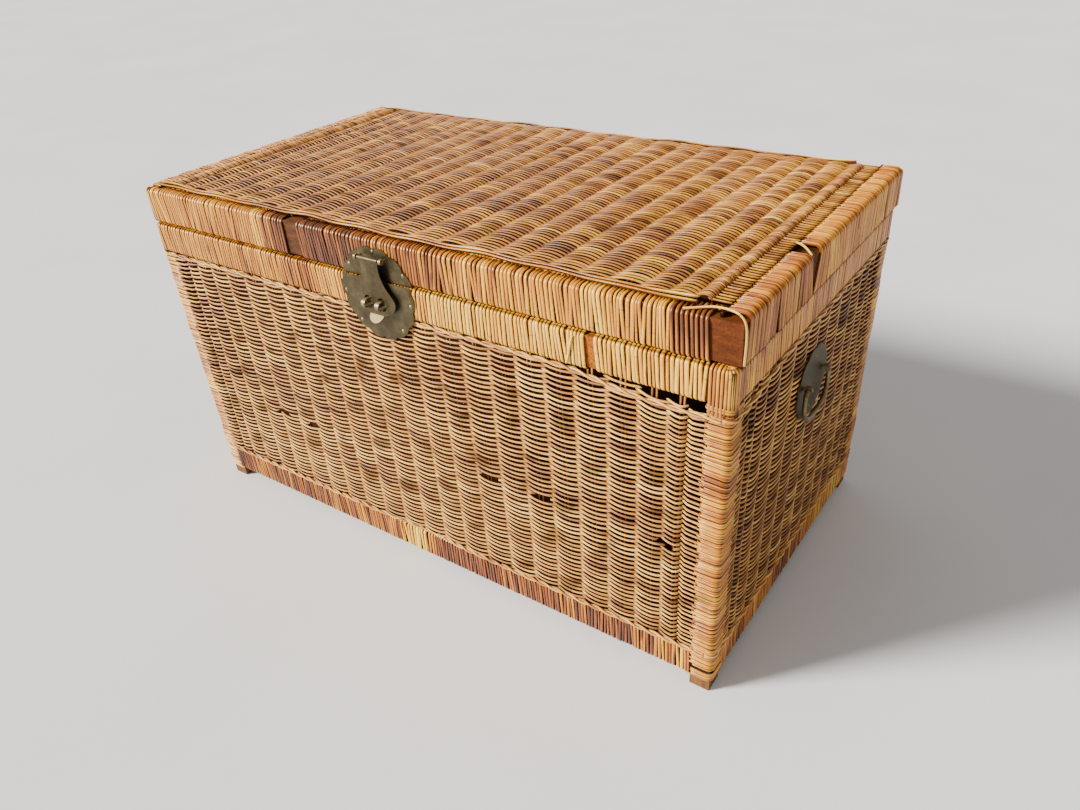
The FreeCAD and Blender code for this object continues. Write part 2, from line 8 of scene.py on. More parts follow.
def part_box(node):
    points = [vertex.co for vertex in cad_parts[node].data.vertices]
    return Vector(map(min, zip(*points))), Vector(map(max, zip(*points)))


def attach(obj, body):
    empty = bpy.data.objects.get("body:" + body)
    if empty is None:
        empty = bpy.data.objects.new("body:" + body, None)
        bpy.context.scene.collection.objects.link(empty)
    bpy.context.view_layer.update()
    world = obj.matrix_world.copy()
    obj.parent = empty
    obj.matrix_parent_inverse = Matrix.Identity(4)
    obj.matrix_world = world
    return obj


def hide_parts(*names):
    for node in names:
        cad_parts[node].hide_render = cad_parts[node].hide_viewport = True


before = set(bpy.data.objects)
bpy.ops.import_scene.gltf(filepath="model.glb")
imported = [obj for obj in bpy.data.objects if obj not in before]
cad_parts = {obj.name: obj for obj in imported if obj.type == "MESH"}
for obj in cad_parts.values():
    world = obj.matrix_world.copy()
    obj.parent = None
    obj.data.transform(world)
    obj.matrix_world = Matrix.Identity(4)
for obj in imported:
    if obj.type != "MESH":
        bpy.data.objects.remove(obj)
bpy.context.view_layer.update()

MM = 0.001
ALONG_X, ALONG_Y, UP = np.eye(3)

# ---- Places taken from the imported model, in millimetres ------------------------------


def node_box(name):
    """Lowest and highest corner of a CAD node in millimetres."""
    low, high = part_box(name)
    return np.array(low) / MM, np.array(high) / MM


CANE = 3.0
POST = 25.0
RAIL_DEPTH = POST + 2 * CANE

post_low, post_high = node_box("corner_post_front_right")
lid_front_low, lid_front_high = node_box("lid_wrap_front")
lid_top_low, lid_top_high = node_box("lid_woven_panel")
RIM_BOTTOM, RIM_TOP = (corner[2] for corner in node_box("rim_wrap_front"))
BASE_BOTTOM, BASE_TOP = (corner[2] for corner in node_box("base_wrap_front"))
FLOOR_HALF_LENGTH = post_low[0] + POST + CANE
FLOOR_HALF_DEPTH = -post_high[1] + POST + CANE
LENGTH_SLOPE = (post_high[0] + CANE - FLOOR_HALF_LENGTH) / post_high[2]
DEPTH_SLOPE = (-post_low[1] + CANE - FLOOR_HALF_DEPTH) / post_high[2]
LID_HALF = node_box("lid_wrap_right")[1][0]
LID_FRONT = lid_front_low[1]
LID_BACK = node_box("lid_wrap_back")[1][1]
LID_BOTTOM, LID_WRAP_TOP = lid_front_low[2], lid_front_high[2]
LID_RAIL_TOP = node_box("lid_rail_front")[1][2]
LID_TOP = lid_top_high[2]


def half_length(z):
    return FLOOR_HALF_LENGTH + LENGTH_SLOPE * np.asarray(z)


def half_depth(z):
    return FLOOR_HALF_DEPTH + DEPTH_SLOPE * np.asarray(z)


# ---- Smooth random variation ---------------------------------------------------------


class Waves:
    """A smooth random field: a sum of sine waves of about one wavelength."""

    def __init__(self, rng, wavelength, count=7):
        angle = rng.uniform(0, 2 * math.pi, count)
        size = 2 * math.pi / (wavelength * rng.uniform(0.6, 1.7, count))
        self.a = size * np.cos(angle)
        self.b = size * np.sin(angle)
        self.phase = rng.uniform(0, 2 * math.pi, count)
        self.gain = math.sqrt(2 / count)

    def __call__(self, a, b=0.0):
        a, b = np.broadcast_arrays(np.asarray(a, float), np.asarray(b, float))
        angle = a[..., None] * self.a + b[..., None] * self.b + self.phase
        return np.sin(angle).sum(-1) * self.gain


def smooth(t):
    t = np.clip(t, 0, 1)
    return t * t * (3 - 2 * t)


def bump(value, centre, half):
    """1 at the centre, falling smoothly to 0 at centre plus or minus half."""
    return smooth(1 - np.abs(np.asarray(value) - centre) / half)


def arc(a, b, radius, start, points):
    """A quarter turn about (a, b) from start degrees, as (a, b, normal a, normal b)."""
    turns = [math.radians(start + 90 * i / (points - 1)) for i in range(points)]
    normals = [(math.cos(turn), math.sin(turn)) for turn in turns]
    return [(a + radius * na, b + radius * nb, na, nb) for na, nb in normals]


def xyz(x, y, z):
    """Points from coordinates that broadcast against each other."""
    return np.stack(np.broadcast_arrays(x, y, z), -1)


def travelled(path):
    """Distance along a path at each of its points."""
    return np.concatenate([[0], np.cumsum(np.linalg.norm(np.diff(path, axis=0), axis=1))])


def resampled(values, places, at):
    return np.stack([np.interp(at, places, column) for column in values.T], -1)


# ---- Strands -------------------------------------------------------------------------


class Piece:
    """Collects strands, then makes one mesh object of them."""

    def __init__(self, name, seed):
        self.name = name
        self.rng = np.random.default_rng(seed)
        self.points, self.quads, self.caps = [], [], []
        self.strand, self.tone, self.stain, self.crest = [], [], [], []
        self.count = 0

    def sweep(self, centre, side, out, width, depth, tone, stain=0.0, swing=None, facets=6):
        """Adds tubes along paths of shape (strands, points, 3).

        side and out are the section's axes, width and depth its half sizes. swing is 1 where
        a strand passes outside the stakes and -1 where it passes behind them.
        """
        centre = np.asarray(centre, float)
        strands, steps = centre.shape[:2]
        if strands == 0:
            return
        shape = (strands, steps)
        side = np.broadcast_to(side, shape + (3,))
        out = np.broadcast_to(out, shape + (3,))
        width = np.broadcast_to(width, shape)[..., None, None]
        depth = np.broadcast_to(depth, shape)[..., None, None]
        turn = np.arange(facets) / facets
        angle = 2 * math.pi * turn - math.pi / 2
        facing = np.sin(angle)
        self.crest.append(np.tile(np.abs(facing), strands * steps))
        cos = np.cos(angle)[:, None]
        sin = np.sin(angle)[:, None]
        ring = (
            centre[:, :, None, :]
            + cos * width * side[:, :, None, :]
            + sin * depth * out[:, :, None, :]
        )
        self.points.append(ring.reshape(-1, 3))

        travel = np.diff(centre, axis=1)
        handed = np.einsum("spi,spi->", np.cross(side, out)[:, :-1], travel)
        s = np.arange(strands)[:, None, None]
        p = np.arange(steps - 1)[None, :, None]
        k = np.arange(facets)[None, None, :]

        def index(p_at, k_at):
            return self.count + (s * steps + p_at) * facets + k_at % facets

        quads = np.stack([index(p, k), index(p, k + 1), index(p + 1, k + 1), index(p + 1, k)], -1)
        quads = quads.reshape(-1, 4)
        first = self.count + np.arange(strands)[:, None] * steps * facets + np.arange(facets)
        caps = [first[:, ::-1], first + (steps - 1) * facets]
        if handed < 0:
            quads = quads[:, ::-1]
            caps = [c[:, ::-1] for c in caps]
        self.quads.append(quads)
        self.caps.extend(caps)

        length = np.concatenate(
            [np.zeros((strands, 1)), np.cumsum(np.linalg.norm(travel, axis=2), axis=1)], 1
        )
        along = length + self.rng.uniform(0, 4000, (strands, 1))
        strand = np.empty(shape + (facets, 3))
        strand[..., 0] = along[..., None] * MM
        strand[..., 1] = 0.5 * np.cos(angle)
        strand[..., 2] = self.rng.uniform(0, 1, (strands, 1, 1))
        self.strand.append(strand.reshape(-1, 3))
        tone = np.broadcast_to(np.asarray(tone, float), shape)
        self.tone.append(np.repeat(tone.reshape(-1), facets))
        stain = np.broadcast_to(np.asarray(stain, float), shape)[..., None]
        stain = np.broadcast_to(stain, shape + (facets,))
        # Painted shade on the far side of a strand where it passes behind the stakes.
        if swing is not None:
            hidden = 0.9 * smooth((0.25 - facing * swing[..., None]) / 1.15)
            stain = np.maximum(stain, hidden)
        self.stain.append(stain.reshape(-1))
        self.count += strands * steps * facets

    def make(self, material, body, slot, replaces=()):
        """Makes the mesh object and says what it rides on and stands for."""
        points = np.concatenate(self.points) * MM
        groups = [np.concatenate(self.quads)] + self.caps
        loops = np.concatenate([g.reshape(-1) for g in groups])
        sizes = np.concatenate([np.full(len(g), g.shape[1]) for g in groups])
        starts = np.concatenate([[0], np.cumsum(sizes)[:-1]])
        mesh = bpy.data.meshes.new(self.name)
        mesh.vertices.add(len(points))
        mesh.loops.add(len(loops))
        mesh.polygons.add(len(sizes))
        smooth_faces = np.ones(len(sizes), bool)
        for items, name, values, kind in (
            (mesh.vertices, "co", points, np.float32),
            (mesh.loops, "vertex_index", loops, np.int32),
            (mesh.polygons, "loop_start", starts, np.int32),
            (mesh.polygons, "loop_total", sizes, np.int32),
            (mesh.polygons, "use_smooth", smooth_faces, bool),
        ):
            items.foreach_set(name, values.astype(kind).reshape(-1))
        mesh.update(calc_edges=True)
        for name, parts in (
            ("strand", self.strand), ("tone", self.tone), ("stain", self.stain), ("crest", self.crest)
        ):
            is_vector = name == "strand"
            layer = mesh.attributes.new(name, "FLOAT_VECTOR" if is_vector else "FLOAT", "POINT")
            values = np.concatenate(parts).astype(np.float32).reshape(-1)
            layer.data.foreach_set("vector" if is_vector else "value", values)
        mesh.materials.append(material)
        piece = bpy.data.objects.new(self.name, mesh)
        bpy.context.scene.collection.objects.link(piece)
        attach(piece, body)
        if replaces:
            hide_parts(*replaces)


# ---- Materials -----------------------------------------------------------------------


class Shader:
    """A material's node tree, built one node at a time."""

    def __init__(self, name):
        self.material = bpy.data.materials.new(name)
        self.material.use_nodes = True
        self.tree = self.material.node_tree
        self.tree.nodes.clear()

    def feed(self, socket, value):
        """Links a socket to another, or sets its value."""
        if isinstance(value, bpy.types.NodeSocket):
            self.tree.links.new(value, socket)
        elif isinstance(value, tuple) and len(socket.default_value) == len(value) + 1:
            socket.default_value = (*value, 1.0)
        else:
            socket.default_value = value

    def node(self, kind, inputs=(), **settings):
        made = self.tree.nodes.new("ShaderNode" + kind)
        for name, value in settings.items():
            setattr(made, name, value)
        for name, value in dict(inputs).items():
            self.feed(made.inputs[name], value)
        return made

    def math(self, operation, *values):
        return self.node("Math", dict(enumerate(values)), operation=operation).outputs[0]

    def vary(self, value, noise, amount):
        """Adds noise to a value, about the noise's middle."""
        swing = self.math("MULTIPLY", self.math("SUBTRACT", noise, 0.5), amount)
        return self.math("ADD", value, swing)

    def heights(self, first, weight, second, second_weight):
        """Two noises added up for a bump."""
        return self.math(
            "ADD", self.math("MULTIPLY", first, weight), self.math("MULTIPLY", second, second_weight)
        )

    def bump(self, height, strength, distance):
        inputs = {"Height": height, "Strength": strength, "Distance": distance}
        return self.node("Bump", inputs).outputs[0]

    def coordinate(self, vector, axis):
        return self.node("SeparateXYZ", {0: vector}).outputs[axis]

    def noise(self, vector, scale, detail=2.0, roughness=0.5):
        inputs = {"Vector": vector, "Scale": scale, "Detail": detail, "Roughness": roughness}
        return self.node("TexNoise", inputs).outputs["Fac"]

    def stretch(self, vector, scale):
        return self.node("VectorMath", {0: vector, 1: scale}, operation="MULTIPLY").outputs[0]

    def ramp(self, value, stops):
        made = self.node("ValToRGB", {"Fac": value})
        elements = made.color_ramp.elements
        while len(elements) < len(stops):
            elements.new(0.5)
        for element, (place, colour) in zip(elements, stops):
            element.position = place
            element.color = (*colour, 1.0)
        return made.outputs["Color"]

    def mix(self, factor, a, b):
        return self.node("Mix", {0: factor, 6: a, 7: b}, data_type="RGBA").outputs[2]

    def spread(self, value, low, high, to_low=0.0, to_high=1.0):
        inputs = {"Value": value, "From Min": low, "From Max": high, "To Min": to_low, "To Max": to_high}
        return self.node("MapRange", inputs).outputs[0]

    def surface(self, inputs):
        shader = self.node("BsdfPrincipled", inputs)
        output = self.node("OutputMaterial")
        self.tree.links.new(shader.outputs[0], output.inputs["Surface"])
        return self.material


def cane_material(name, stops, colours, crevice_shade, rough=(0.35, 0.6), coat=0.12, dirt=0.5):
    """Reed or cane: streaks along each strand, joints, blotches, specks, and painted shade in the
    crevices.
    """
    s = Shader(name)
    strand = s.node("Attribute", attribute_name="strand").outputs["Vector"]
    tone, stain, crest = (
        s.node("Attribute", attribute_name=kind).outputs["Fac"] for kind in ("tone", "stain", "crest")
    )
    place = s.node("TexCoord").outputs["Object"]

    fibre = s.noise(s.stretch(strand, (28.0, 7.0, 91.0)), 1.0, 3.0, 0.65)
    patch = s.noise(s.stretch(strand, (13.0, 0.6, 57.0)), 1.0, 2.0)
    bruise = s.noise(s.stretch(strand, (22.0, 0.8, 33.0)), 1.0, 1.0)
    cloud = s.noise(place, 13.0, 3.0, 0.6)
    speck = s.noise(place, 240.0, 2.0, 0.6)
    value = s.vary(s.vary(s.vary(tone, fibre, 0.6), patch, 0.75), cloud, 0.4)
    value = s.math("SUBTRACT", value, s.spread(bruise, 0.64, 0.76, 0.0, 0.42))
    colour = s.ramp(value, tuple(zip(stops, colours)))

    turn = s.math(
        "FRACT",
        s.math("ADD", s.math("DIVIDE", s.coordinate(strand, 0), RING_SPACING), s.coordinate(strand, 2)),
    )
    ring = s.math("LESS_THAN", turn, 0.007)
    colour = s.mix(s.math("MULTIPLY", ring, 0.55), colour, (0.16, 0.07, 0.025))
    spots = s.spread(speck, 0.60, 0.72)
    colour = s.mix(s.math("MULTIPLY", spots, dirt), colour, (0.11, 0.045, 0.02))
    # Painted shade: each strand darkens towards its sides, where it meets its neighbours.
    colour = s.mix(s.spread(crest, -0.08, 0.84, crevice_shade, 0.0), colour, (0.022, 0.006, 0.002))
    # The darkening attribute: painted shade behind stakes, in seams and holes and on dark stakes and
    # sheets, with real dirt blotches.
    colour = s.mix(stain, colour, (0.016, 0.005, 0.002))
    open_to_light = s.math("MULTIPLY", s.spread(crest, 0.0, 0.7), s.math("SUBTRACT", 1.0, stain))
    grain = s.noise(s.stretch(strand, (90.0, 16.0, 91.0)), 1.0, 2.0)
    height = s.math("SUBTRACT", s.heights(fibre, 0.6, grain, 0.5), s.math("MULTIPLY", ring, 0.4))
    return s.surface(
        {
            "Base Color": colour,
            "Roughness": s.spread(fibre, 0.25, 0.75, *rough),
            "Normal": s.bump(height, 0.35, 0.0006),
            "Specular IOR Level": s.math("MULTIPLY", open_to_light, 0.5),
            "Coat Weight": s.math("MULTIPLY", open_to_light, coat),
            "Coat Roughness": 0.22,
        }
    )


RING_SPACING = 0.21
REED_STOPS = (0.0, 0.28, 0.5, 0.72, 1.0)
CANE_STOPS = (0.0, 0.25, 0.5, 0.75, 1.0)
WEAVE = cane_material(
    "woven_reed",
    REED_STOPS,
    (
        (0.075, 0.020, 0.005), (0.27, 0.092, 0.017), (0.60, 0.280, 0.060), (0.86, 0.510, 0.140),
        (0.98, 0.78, 0.36),
    ),
    crevice_shade=0.92,
)
LID_WEAVE = cane_material(
    "woven_lid_reed",
    REED_STOPS,
    (
        (0.065, 0.015, 0.003), (0.17, 0.044, 0.004), (0.40, 0.145, 0.011), (0.68, 0.330, 0.034),
        (0.93, 0.65, 0.17),
    ),
    crevice_shade=0.9,
)
WRAP = cane_material(
    "wrapped_cane",
    CANE_STOPS,
    (
        (0.080, 0.017, 0.001), (0.27, 0.070, 0.003), (0.61, 0.232, 0.012), (0.88, 0.460, 0.036),
        (0.99, 0.74, 0.17),
    ),
    crevice_shade=0.97,
    rough=(0.24, 0.46),
    coat=0.32,
    dirt=0.35,
)
GOLDEN_WRAP = cane_material(
    "golden_cane",
    CANE_STOPS,
    (
        (0.070, 0.012, 0.001), (0.25, 0.052, 0.001), (0.57, 0.203, 0.004), (0.86, 0.425, 0.014),
        (0.98, 0.71, 0.09),
    ),
    crevice_shade=0.97,
    rough=(0.24, 0.46),
    coat=0.3,
    dirt=0.4,
)


def wood_material(name, dark, light, scale, rough, faded=None, painted_shade_above_feet=None):
    """Bare worn timber: grain, pores and wear.

    faded gives the colours to the right of the latch, and the last one painted shade above the feet.
    """
    s = Shader(name)
    place = s.node("TexCoord").outputs["Object"]
    grain = s.noise(s.stretch(place, scale), 1.0, 6.0, 0.7)
    pores = s.noise(place, 520.0, 3.0, 0.7)
    wear = s.noise(place, 34.0, 4.0, 0.6)
    colour = s.ramp(
        grain,
        ((0.30, dark), (0.5, tuple((a + b) / 2 for a, b in zip(dark, light))), (0.72, light)),
    )
    if faded:
        right = s.spread(s.coordinate(place, 0), 0.1, 0.2)
        colour = s.mix(right, colour, s.ramp(grain, ((0.28, faded[0]), (0.72, faded[1]))))
    colour = s.mix(s.spread(pores, 0.50, 0.66, 0.0, 0.85), colour, (0.035, 0.012, 0.005))
    colour = s.mix(s.spread(wear, 0.55, 0.75, 0.0, 0.25), colour, (0.20, 0.095, 0.03))
    # Painted shade: the post above the feet, hidden under the cane, is near black.
    if painted_shade_above_feet:
        above = s.spread(s.coordinate(place, 2), 0.0165, 0.0185)
        colour = s.mix(above, colour, painted_shade_above_feet)
    normal = s.bump(s.heights(grain, 0.5, pores, 0.6), 0.6, 0.001)
    return s.surface(
        {"Base Color": colour, "Roughness": rough, "Normal": normal, "Specular IOR Level": 0.2}
    )


DARK_TIMBER = ((0.026, 0.008, 0.003), (0.135, 0.048, 0.014))
TIMBER_GRAIN = (40.0, 160.0, 160.0)
RAIL_WOOD = wood_material("frame_timber", *DARK_TIMBER, TIMBER_GRAIN, 0.75)
LID_RAIL_WOOD = wood_material(
    "lid_front_timber", *DARK_TIMBER, TIMBER_GRAIN, 0.75, ((0.034, 0.007, 0.001), (0.155, 0.036, 0.002))
)
RIM_RAIL_WOOD = wood_material(
    "rim_front_timber", *DARK_TIMBER, TIMBER_GRAIN, 0.75, ((0.16, 0.036, 0.001), (0.50, 0.155, 0.008))
)
POST_WOOD = wood_material(
    "post_timber", (0.08, 0.032, 0.012), (0.27, 0.125, 0.050), (160.0, 160.0, 18.0), 0.8,
    painted_shade_above_feet=(0.035, 0.014, 0.005),
)
BOARD_WOOD = wood_material(
    "bottom_board_wood", (0.30, 0.15, 0.050), (0.58, 0.34, 0.13), (9.0, 120.0, 120.0), 0.7
)


def brass_material(name, bright):
    """Antique brass: olive-grey tarnish, brown stains, brighter rubbed places and scratches."""
    s = Shader(name)
    place = s.node("TexCoord").outputs["Object"]
    tarnish = s.noise(place, 46.0, 5.0, 0.65)
    stain = s.noise(place, 120.0, 4.0, 0.6)
    scratch = s.noise(s.stretch(place, (900.0, 900.0, 110.0)), 1.0, 3.0, 0.6)
    colour = s.ramp(
        tarnish,
        (
            (0.25, (0.085 * bright, 0.062 * bright, 0.028 * bright)),
            (0.5, (0.20 * bright, 0.160 * bright, 0.080 * bright)),
            (0.75, (0.36 * bright, 0.30 * bright, 0.17 * bright)),
        ),
    )
    colour = s.mix(s.spread(stain, 0.52, 0.72, 0.0, 0.8), colour, (0.060, 0.028, 0.010))
    normal = s.bump(s.heights(scratch, 0.3, stain, 0.7), 0.5, 0.0008)
    rough = s.spread(s.math("ADD", tarnish, s.math("MULTIPLY", scratch, 0.3)), 0.4, 0.9, 0.34, 0.58)
    return s.surface({"Base Color": colour, "Metallic": 0.85, "Roughness": rough, "Normal": normal})


BRASS = brass_material("antique_brass", 0.38)
# The next two are the same brass lightened as painted highlights: on the bails and eyelets, and more on
# nails, pins and staples.
PAINTED_HIGHLIGHT_BRASS = brass_material("brass_painted_highlight", 0.8)
STRONG_PAINTED_HIGHLIGHT_BRASS = brass_material("brass_strong_painted_highlight", 1.15)

# ---- Woven panels --------------------------------------------------------------------


class Wall:
    """Axes of a woven panel: u along its rows, v across them, d below its outer skin."""

    def __init__(self, name):
        self.name = name

    def half(self, v):
        return half_length(v) if self.name in ("front", "back") else half_depth(v)

    def point(self, u, v, d):
        along, out = half_length(v) - d, half_depth(v) - d
        if self.name == "front":
            return xyz(u, -out, v)
        if self.name == "back":
            return xyz(-u, out, v)
        return xyz(along, u, v) if self.name == "right" else xyz(-along, -u, v)

    @property
    def out(self):
        table = {"front": (0, -1, 0), "back": (0, 1, 0), "right": (1, 0, 0), "left": (-1, 0, 0)}
        return np.array(table[self.name], float)

    @property
    def along(self):
        return np.cross(UP, self.out)


REED = 1.66
ROW_PITCH = 3.27
WALL_MIDDLE = 5.0
WALL_SWING = 3.4
STAKE_SPREAD = 2.5
STAKE_RADIUS = 1.3
STEPS = 8


def weave_shape(s):
    return s * (1.22 - 0.22 * s * s)


def stake_places(half_count, pitch, last):
    """Stake positions, evenly spaced from the middle and closer near the ends."""
    right = [(k + 0.5) * pitch for k in range(half_count)] + list(last)
    return np.array([-u for u in reversed(right)] + right)


def row_samples(stakes):
    """Positions along a row between its first and last stake, and the phase at each."""
    k = np.arange(len(stakes) - 1)[:, None]
    t = np.arange(STEPS) / STEPS
    u = stakes[k] + t * (stakes[k + 1] - stakes[k])
    return np.append(u, stakes[-1]), np.append(k + t, len(stakes) - 1)


def strand_tones(rng, rows, samples, base, spread):
    """One tone per row, drifting along it."""
    tone = base + spread * rng.standard_normal((rows, 1))
    drift = np.stack([Waves(rng, 60.0, 4)(np.arange(samples)) for _ in range(rows)])
    return tone + 0.45 * spread * drift


def with_tails(inner, s, depth, last, steps, tail_reach, tail_depth):
    """Carries rows on past their first and last stakes.

    last is how far from the middle a row ends where it passes outside and inside its last
    stake, and tail_depth gives its depth on the way.
    """
    t = (np.arange(steps) + 1) / steps
    ends = []
    for end in (-1, 1):
        edge = slice(0, 1) if end < 0 else slice(-1, None)
        stake, at_stake = inner[:, edge], s[:, edge]
        outside = at_stake < 0
        u = stake + (end * np.where(outside, *last) - stake) * t
        reach = np.clip(np.abs(u - stake) / tail_reach, 0, 1)
        swing = np.where(outside, 1.0, -1.0) * reach
        tail = (u, tail_depth(outside, at_stake, reach, t), swing)
        ends.append([values[:, ::end] for values in tail])
    return [np.concatenate(row, 1) for row in zip(ends[0], (inner, depth, s), ends[1])]


def uneven(rng, u, v, wander, radius, limits):
    """Rows' places and radii with the small differences of real strands."""
    v = v + 0.14 * rng.standard_normal((len(u), 1))
    wobble = np.stack([Waves(rng, 110.0, 4)(row) for row in u])
    radius = radius * (1 + 0.05 * rng.standard_normal((len(u), 1)) + 0.04 * wobble[:, ::-1])
    return v + wander * wobble, np.clip(radius, *limits)


def make_rows(labels, seed, rows, side, out, flatness, material, body, nodes):
    """Sweeps a panel's rows as one piece for each label; the first stands for the CAD nodes.

    rows is the rows' centre, radius, tone, darkening (painted shade and dirt) and swing.
    """
    for i, chunk in enumerate(np.array_split(np.arange(len(rows[0])), len(labels))):
        piece = Piece(labels[i], seed + i)
        centre, size, tone, stain, swing = (values[chunk] for values in rows)
        piece.sweep(centre, side, out, size, flatness * size, tone, stain, swing)
        piece.make(material, body, "woven_wicker", nodes if i == 0 else ())


def wall_weave(name, stakes, seed, base_tone, sag=None, holes=(), halves=("",)):
    """The rows and stakes of one body wall."""
    wall = Wall(name)
    rng = np.random.default_rng(seed)
    count = int(round((RIM_BOTTOM - BASE_TOP) / ROW_PITCH))
    pitch = (RIM_BOTTOM - BASE_TOP) / count
    field = Waves(rng, 230.0)
    drift = Waves(rng, 160.0)
    dirt = Waves(rng, 90.0, 9)
    u_mid, phase = row_samples(stakes)
    middle = wall.half(0.5 * (RIM_BOTTOM + BASE_TOP))
    rows = np.arange(count)[:, None]
    v = BASE_TOP + pitch * (rows + 0.5)
    scale = wall.half(v) / middle
    inner = u_mid[None, :] * scale + 1.2 * drift(u_mid[None, :], v * 0.35)

    sign = np.where((rows % 2) == 0, 1.0, -1.0)
    s = weave_shape(np.cos(math.pi * phase)[None, :] * sign)
    depth = WALL_MIDDLE - WALL_SWING * s

    def tail_depth(outside, at_stake, reach, t):
        start = WALL_MIDDLE - WALL_SWING
        return np.where(
            outside,
            WALL_MIDDLE + WALL_SWING * np.cos(math.pi * reach),
            start + (RAIL_DEPTH - 1.5 - start) * smooth(t),
        )

    last = (wall.half(v) - 25.5, wall.half(v) - RAIL_DEPTH + 2.0)
    u, d, s = with_tails(inner, s, depth, last, 7, 15.0, tail_depth)

    edge = bump(v, 0.5 * (RIM_BOTTOM + BASE_TOP), 0.5 * (RIM_BOTTOM - BASE_TOP) + 1)
    v_at = v + 1.3 * field(u, v) * np.sqrt(edge) - 0.35 * s
    v_at, radius = uneven(rng, u, v_at, 0.16, REED, (0.93 * REED, 1.12 * REED))
    if sag is not None:
        v_at = v_at + sag(u, v)
    radius = radius * (1 - 0.15 * s * s)
    tone = strand_tones(rng, count, u.shape[1], base_tone, 0.10)
    stain = np.clip(0.6 * (dirt(u, v * 2.4) - 1.0), 0, 0.55)

    # Holes: rows dip in and thin out, with painted shade in the hole and a little darkening round it.
    for hole_u, hole_v, half_width, half_height in holes:
        near = bump(u, hole_u, half_width) * (np.abs(v - hole_v) < half_height)
        d = d + 9.0 * smooth(near * 2)
        radius = radius * (1 - 0.75 * smooth(near * 2))
        stain = np.maximum(stain, 0.9 * smooth(near * 1.5))
        around = bump(u, hole_u, 1.7 * half_width) * bump(v, hole_v, 5.0 * half_height)
        stain = np.maximum(stain, 0.25 * around)

    make_rows(
        [f"weave_{name}{half}" for half in halves], seed + 100,
        (wall.point(u, v_at, d), radius, tone, stain, s), UP, wall.out, 0.85,
        WEAVE, "trunk", (f"woven_panel_{name}",),
    )

    posts = Piece(f"stakes_{name}", seed + 300)
    height = np.linspace(BASE_TOP - 8, RIM_BOTTOM + 3, 60)[None, :]
    for spread in (-STAKE_SPREAD, STAKE_SPREAD):
        base = stakes[:, None] * wall.half(height) / middle
        u_stake = base + 1.2 * drift(base, height * 0.35) + spread
        u_stake = u_stake + 0.4 * np.stack([Waves(rng, 90.0, 3)(height[0]) for _ in stakes])
        centre = wall.point(u_stake, height, WALL_MIDDLE)
        tone_stake = 0.45 + 0.1 * rng.standard_normal((len(stakes), 1))
        # Painted shade: the stakes are near black except just under the rim.
        stake_shade = 0.9 - 0.85 * smooth((height - RIM_BOTTOM + 16) / 6)
        posts.sweep(centre, wall.along, wall.out, STAKE_RADIUS, STAKE_RADIUS, tone_stake, stake_shade)
    # A flat near-black sheet behind the rows: painted shade seen through the weave's gaps.
    height = np.linspace(BASE_TOP - 4, RIM_BOTTOM + 3, 12)[None, :]
    centre = wall.point(0.0, height, WALL_MIDDLE)
    posts.sweep(centre, wall.along, wall.out, wall.half(height) - 26, 0.2, 0.2, 0.9, facets=4)
    posts.make(WEAVE, "trunk", "woven_wicker")


FRONT_STAKES = stake_places(9, 37.85, (356.5, 387.0))
SIDE_STAKES = stake_places(4, 37.0, (162.0, 188.0))


def front_sag(u, v):
    """The top rows hang down towards the right-hand corner of the front."""
    near_top = smooth((v - 285) / 105) ** 1.5
    return -near_top * (9.0 * bump(u, 392, 75) + 2.0 * bump(u, 280, 120))


FRONT_HOLES = (
    (-258, 176, 17, 3.2),
    (-193, 171, 13, 3.2),
    (132, 200, 17, 2.6),
    (211, 201, 15, 1.8),
    (122, 246, 12, 1.8),
    (375, 201, 12, 2.4),
    (-250, 285, 14, 1.8),
)

HALVES = ("_1", "_2")
wall_weave("front", FRONT_STAKES, 11, 0.52, front_sag, FRONT_HOLES, HALVES)
wall_weave("right", SIDE_STAKES, 12, 0.45)
wall_weave("back", FRONT_STAKES, 13, 0.52, halves=HALVES)
wall_weave("left", SIDE_STAKES, 14, 0.50)

# ---- Weavers round the corner posts --------------------------------------------------

CORNERS = {
    "front_left": (-1, -1),
    "front_right": (1, -1),
    "back_left": (-1, 1),
    "back_right": (1, 1),
}
CORNER_RADIUS = 8.0
CORNER_PITCH = 2.18
CORNER_REACH = 27.0


def corner_plan(radius, inset, reach, arc_steps=7):
    """A path round a corner in plan, as (x inward, y inward, normal x, normal y)."""
    plan = [
        (reach + 1.5, inset + 2.6, 0, 1),
        (reach + 0.3, inset + 0.9, 0, 1),
        (reach - 1.5, inset, 0, 1),
        (0.5 * (reach + radius), inset, 0, 1),
    ]
    for i in range(arc_steps):
        a = 0.5 * math.pi * i / (arc_steps - 1)
        r = radius - inset
        plan.append((radius - r * math.sin(a), radius - r * math.cos(a), math.sin(a), math.cos(a)))
    plan += [(b, a, d, c) for a, b, c, d in reversed(plan[:4])]
    return np.array(plan)


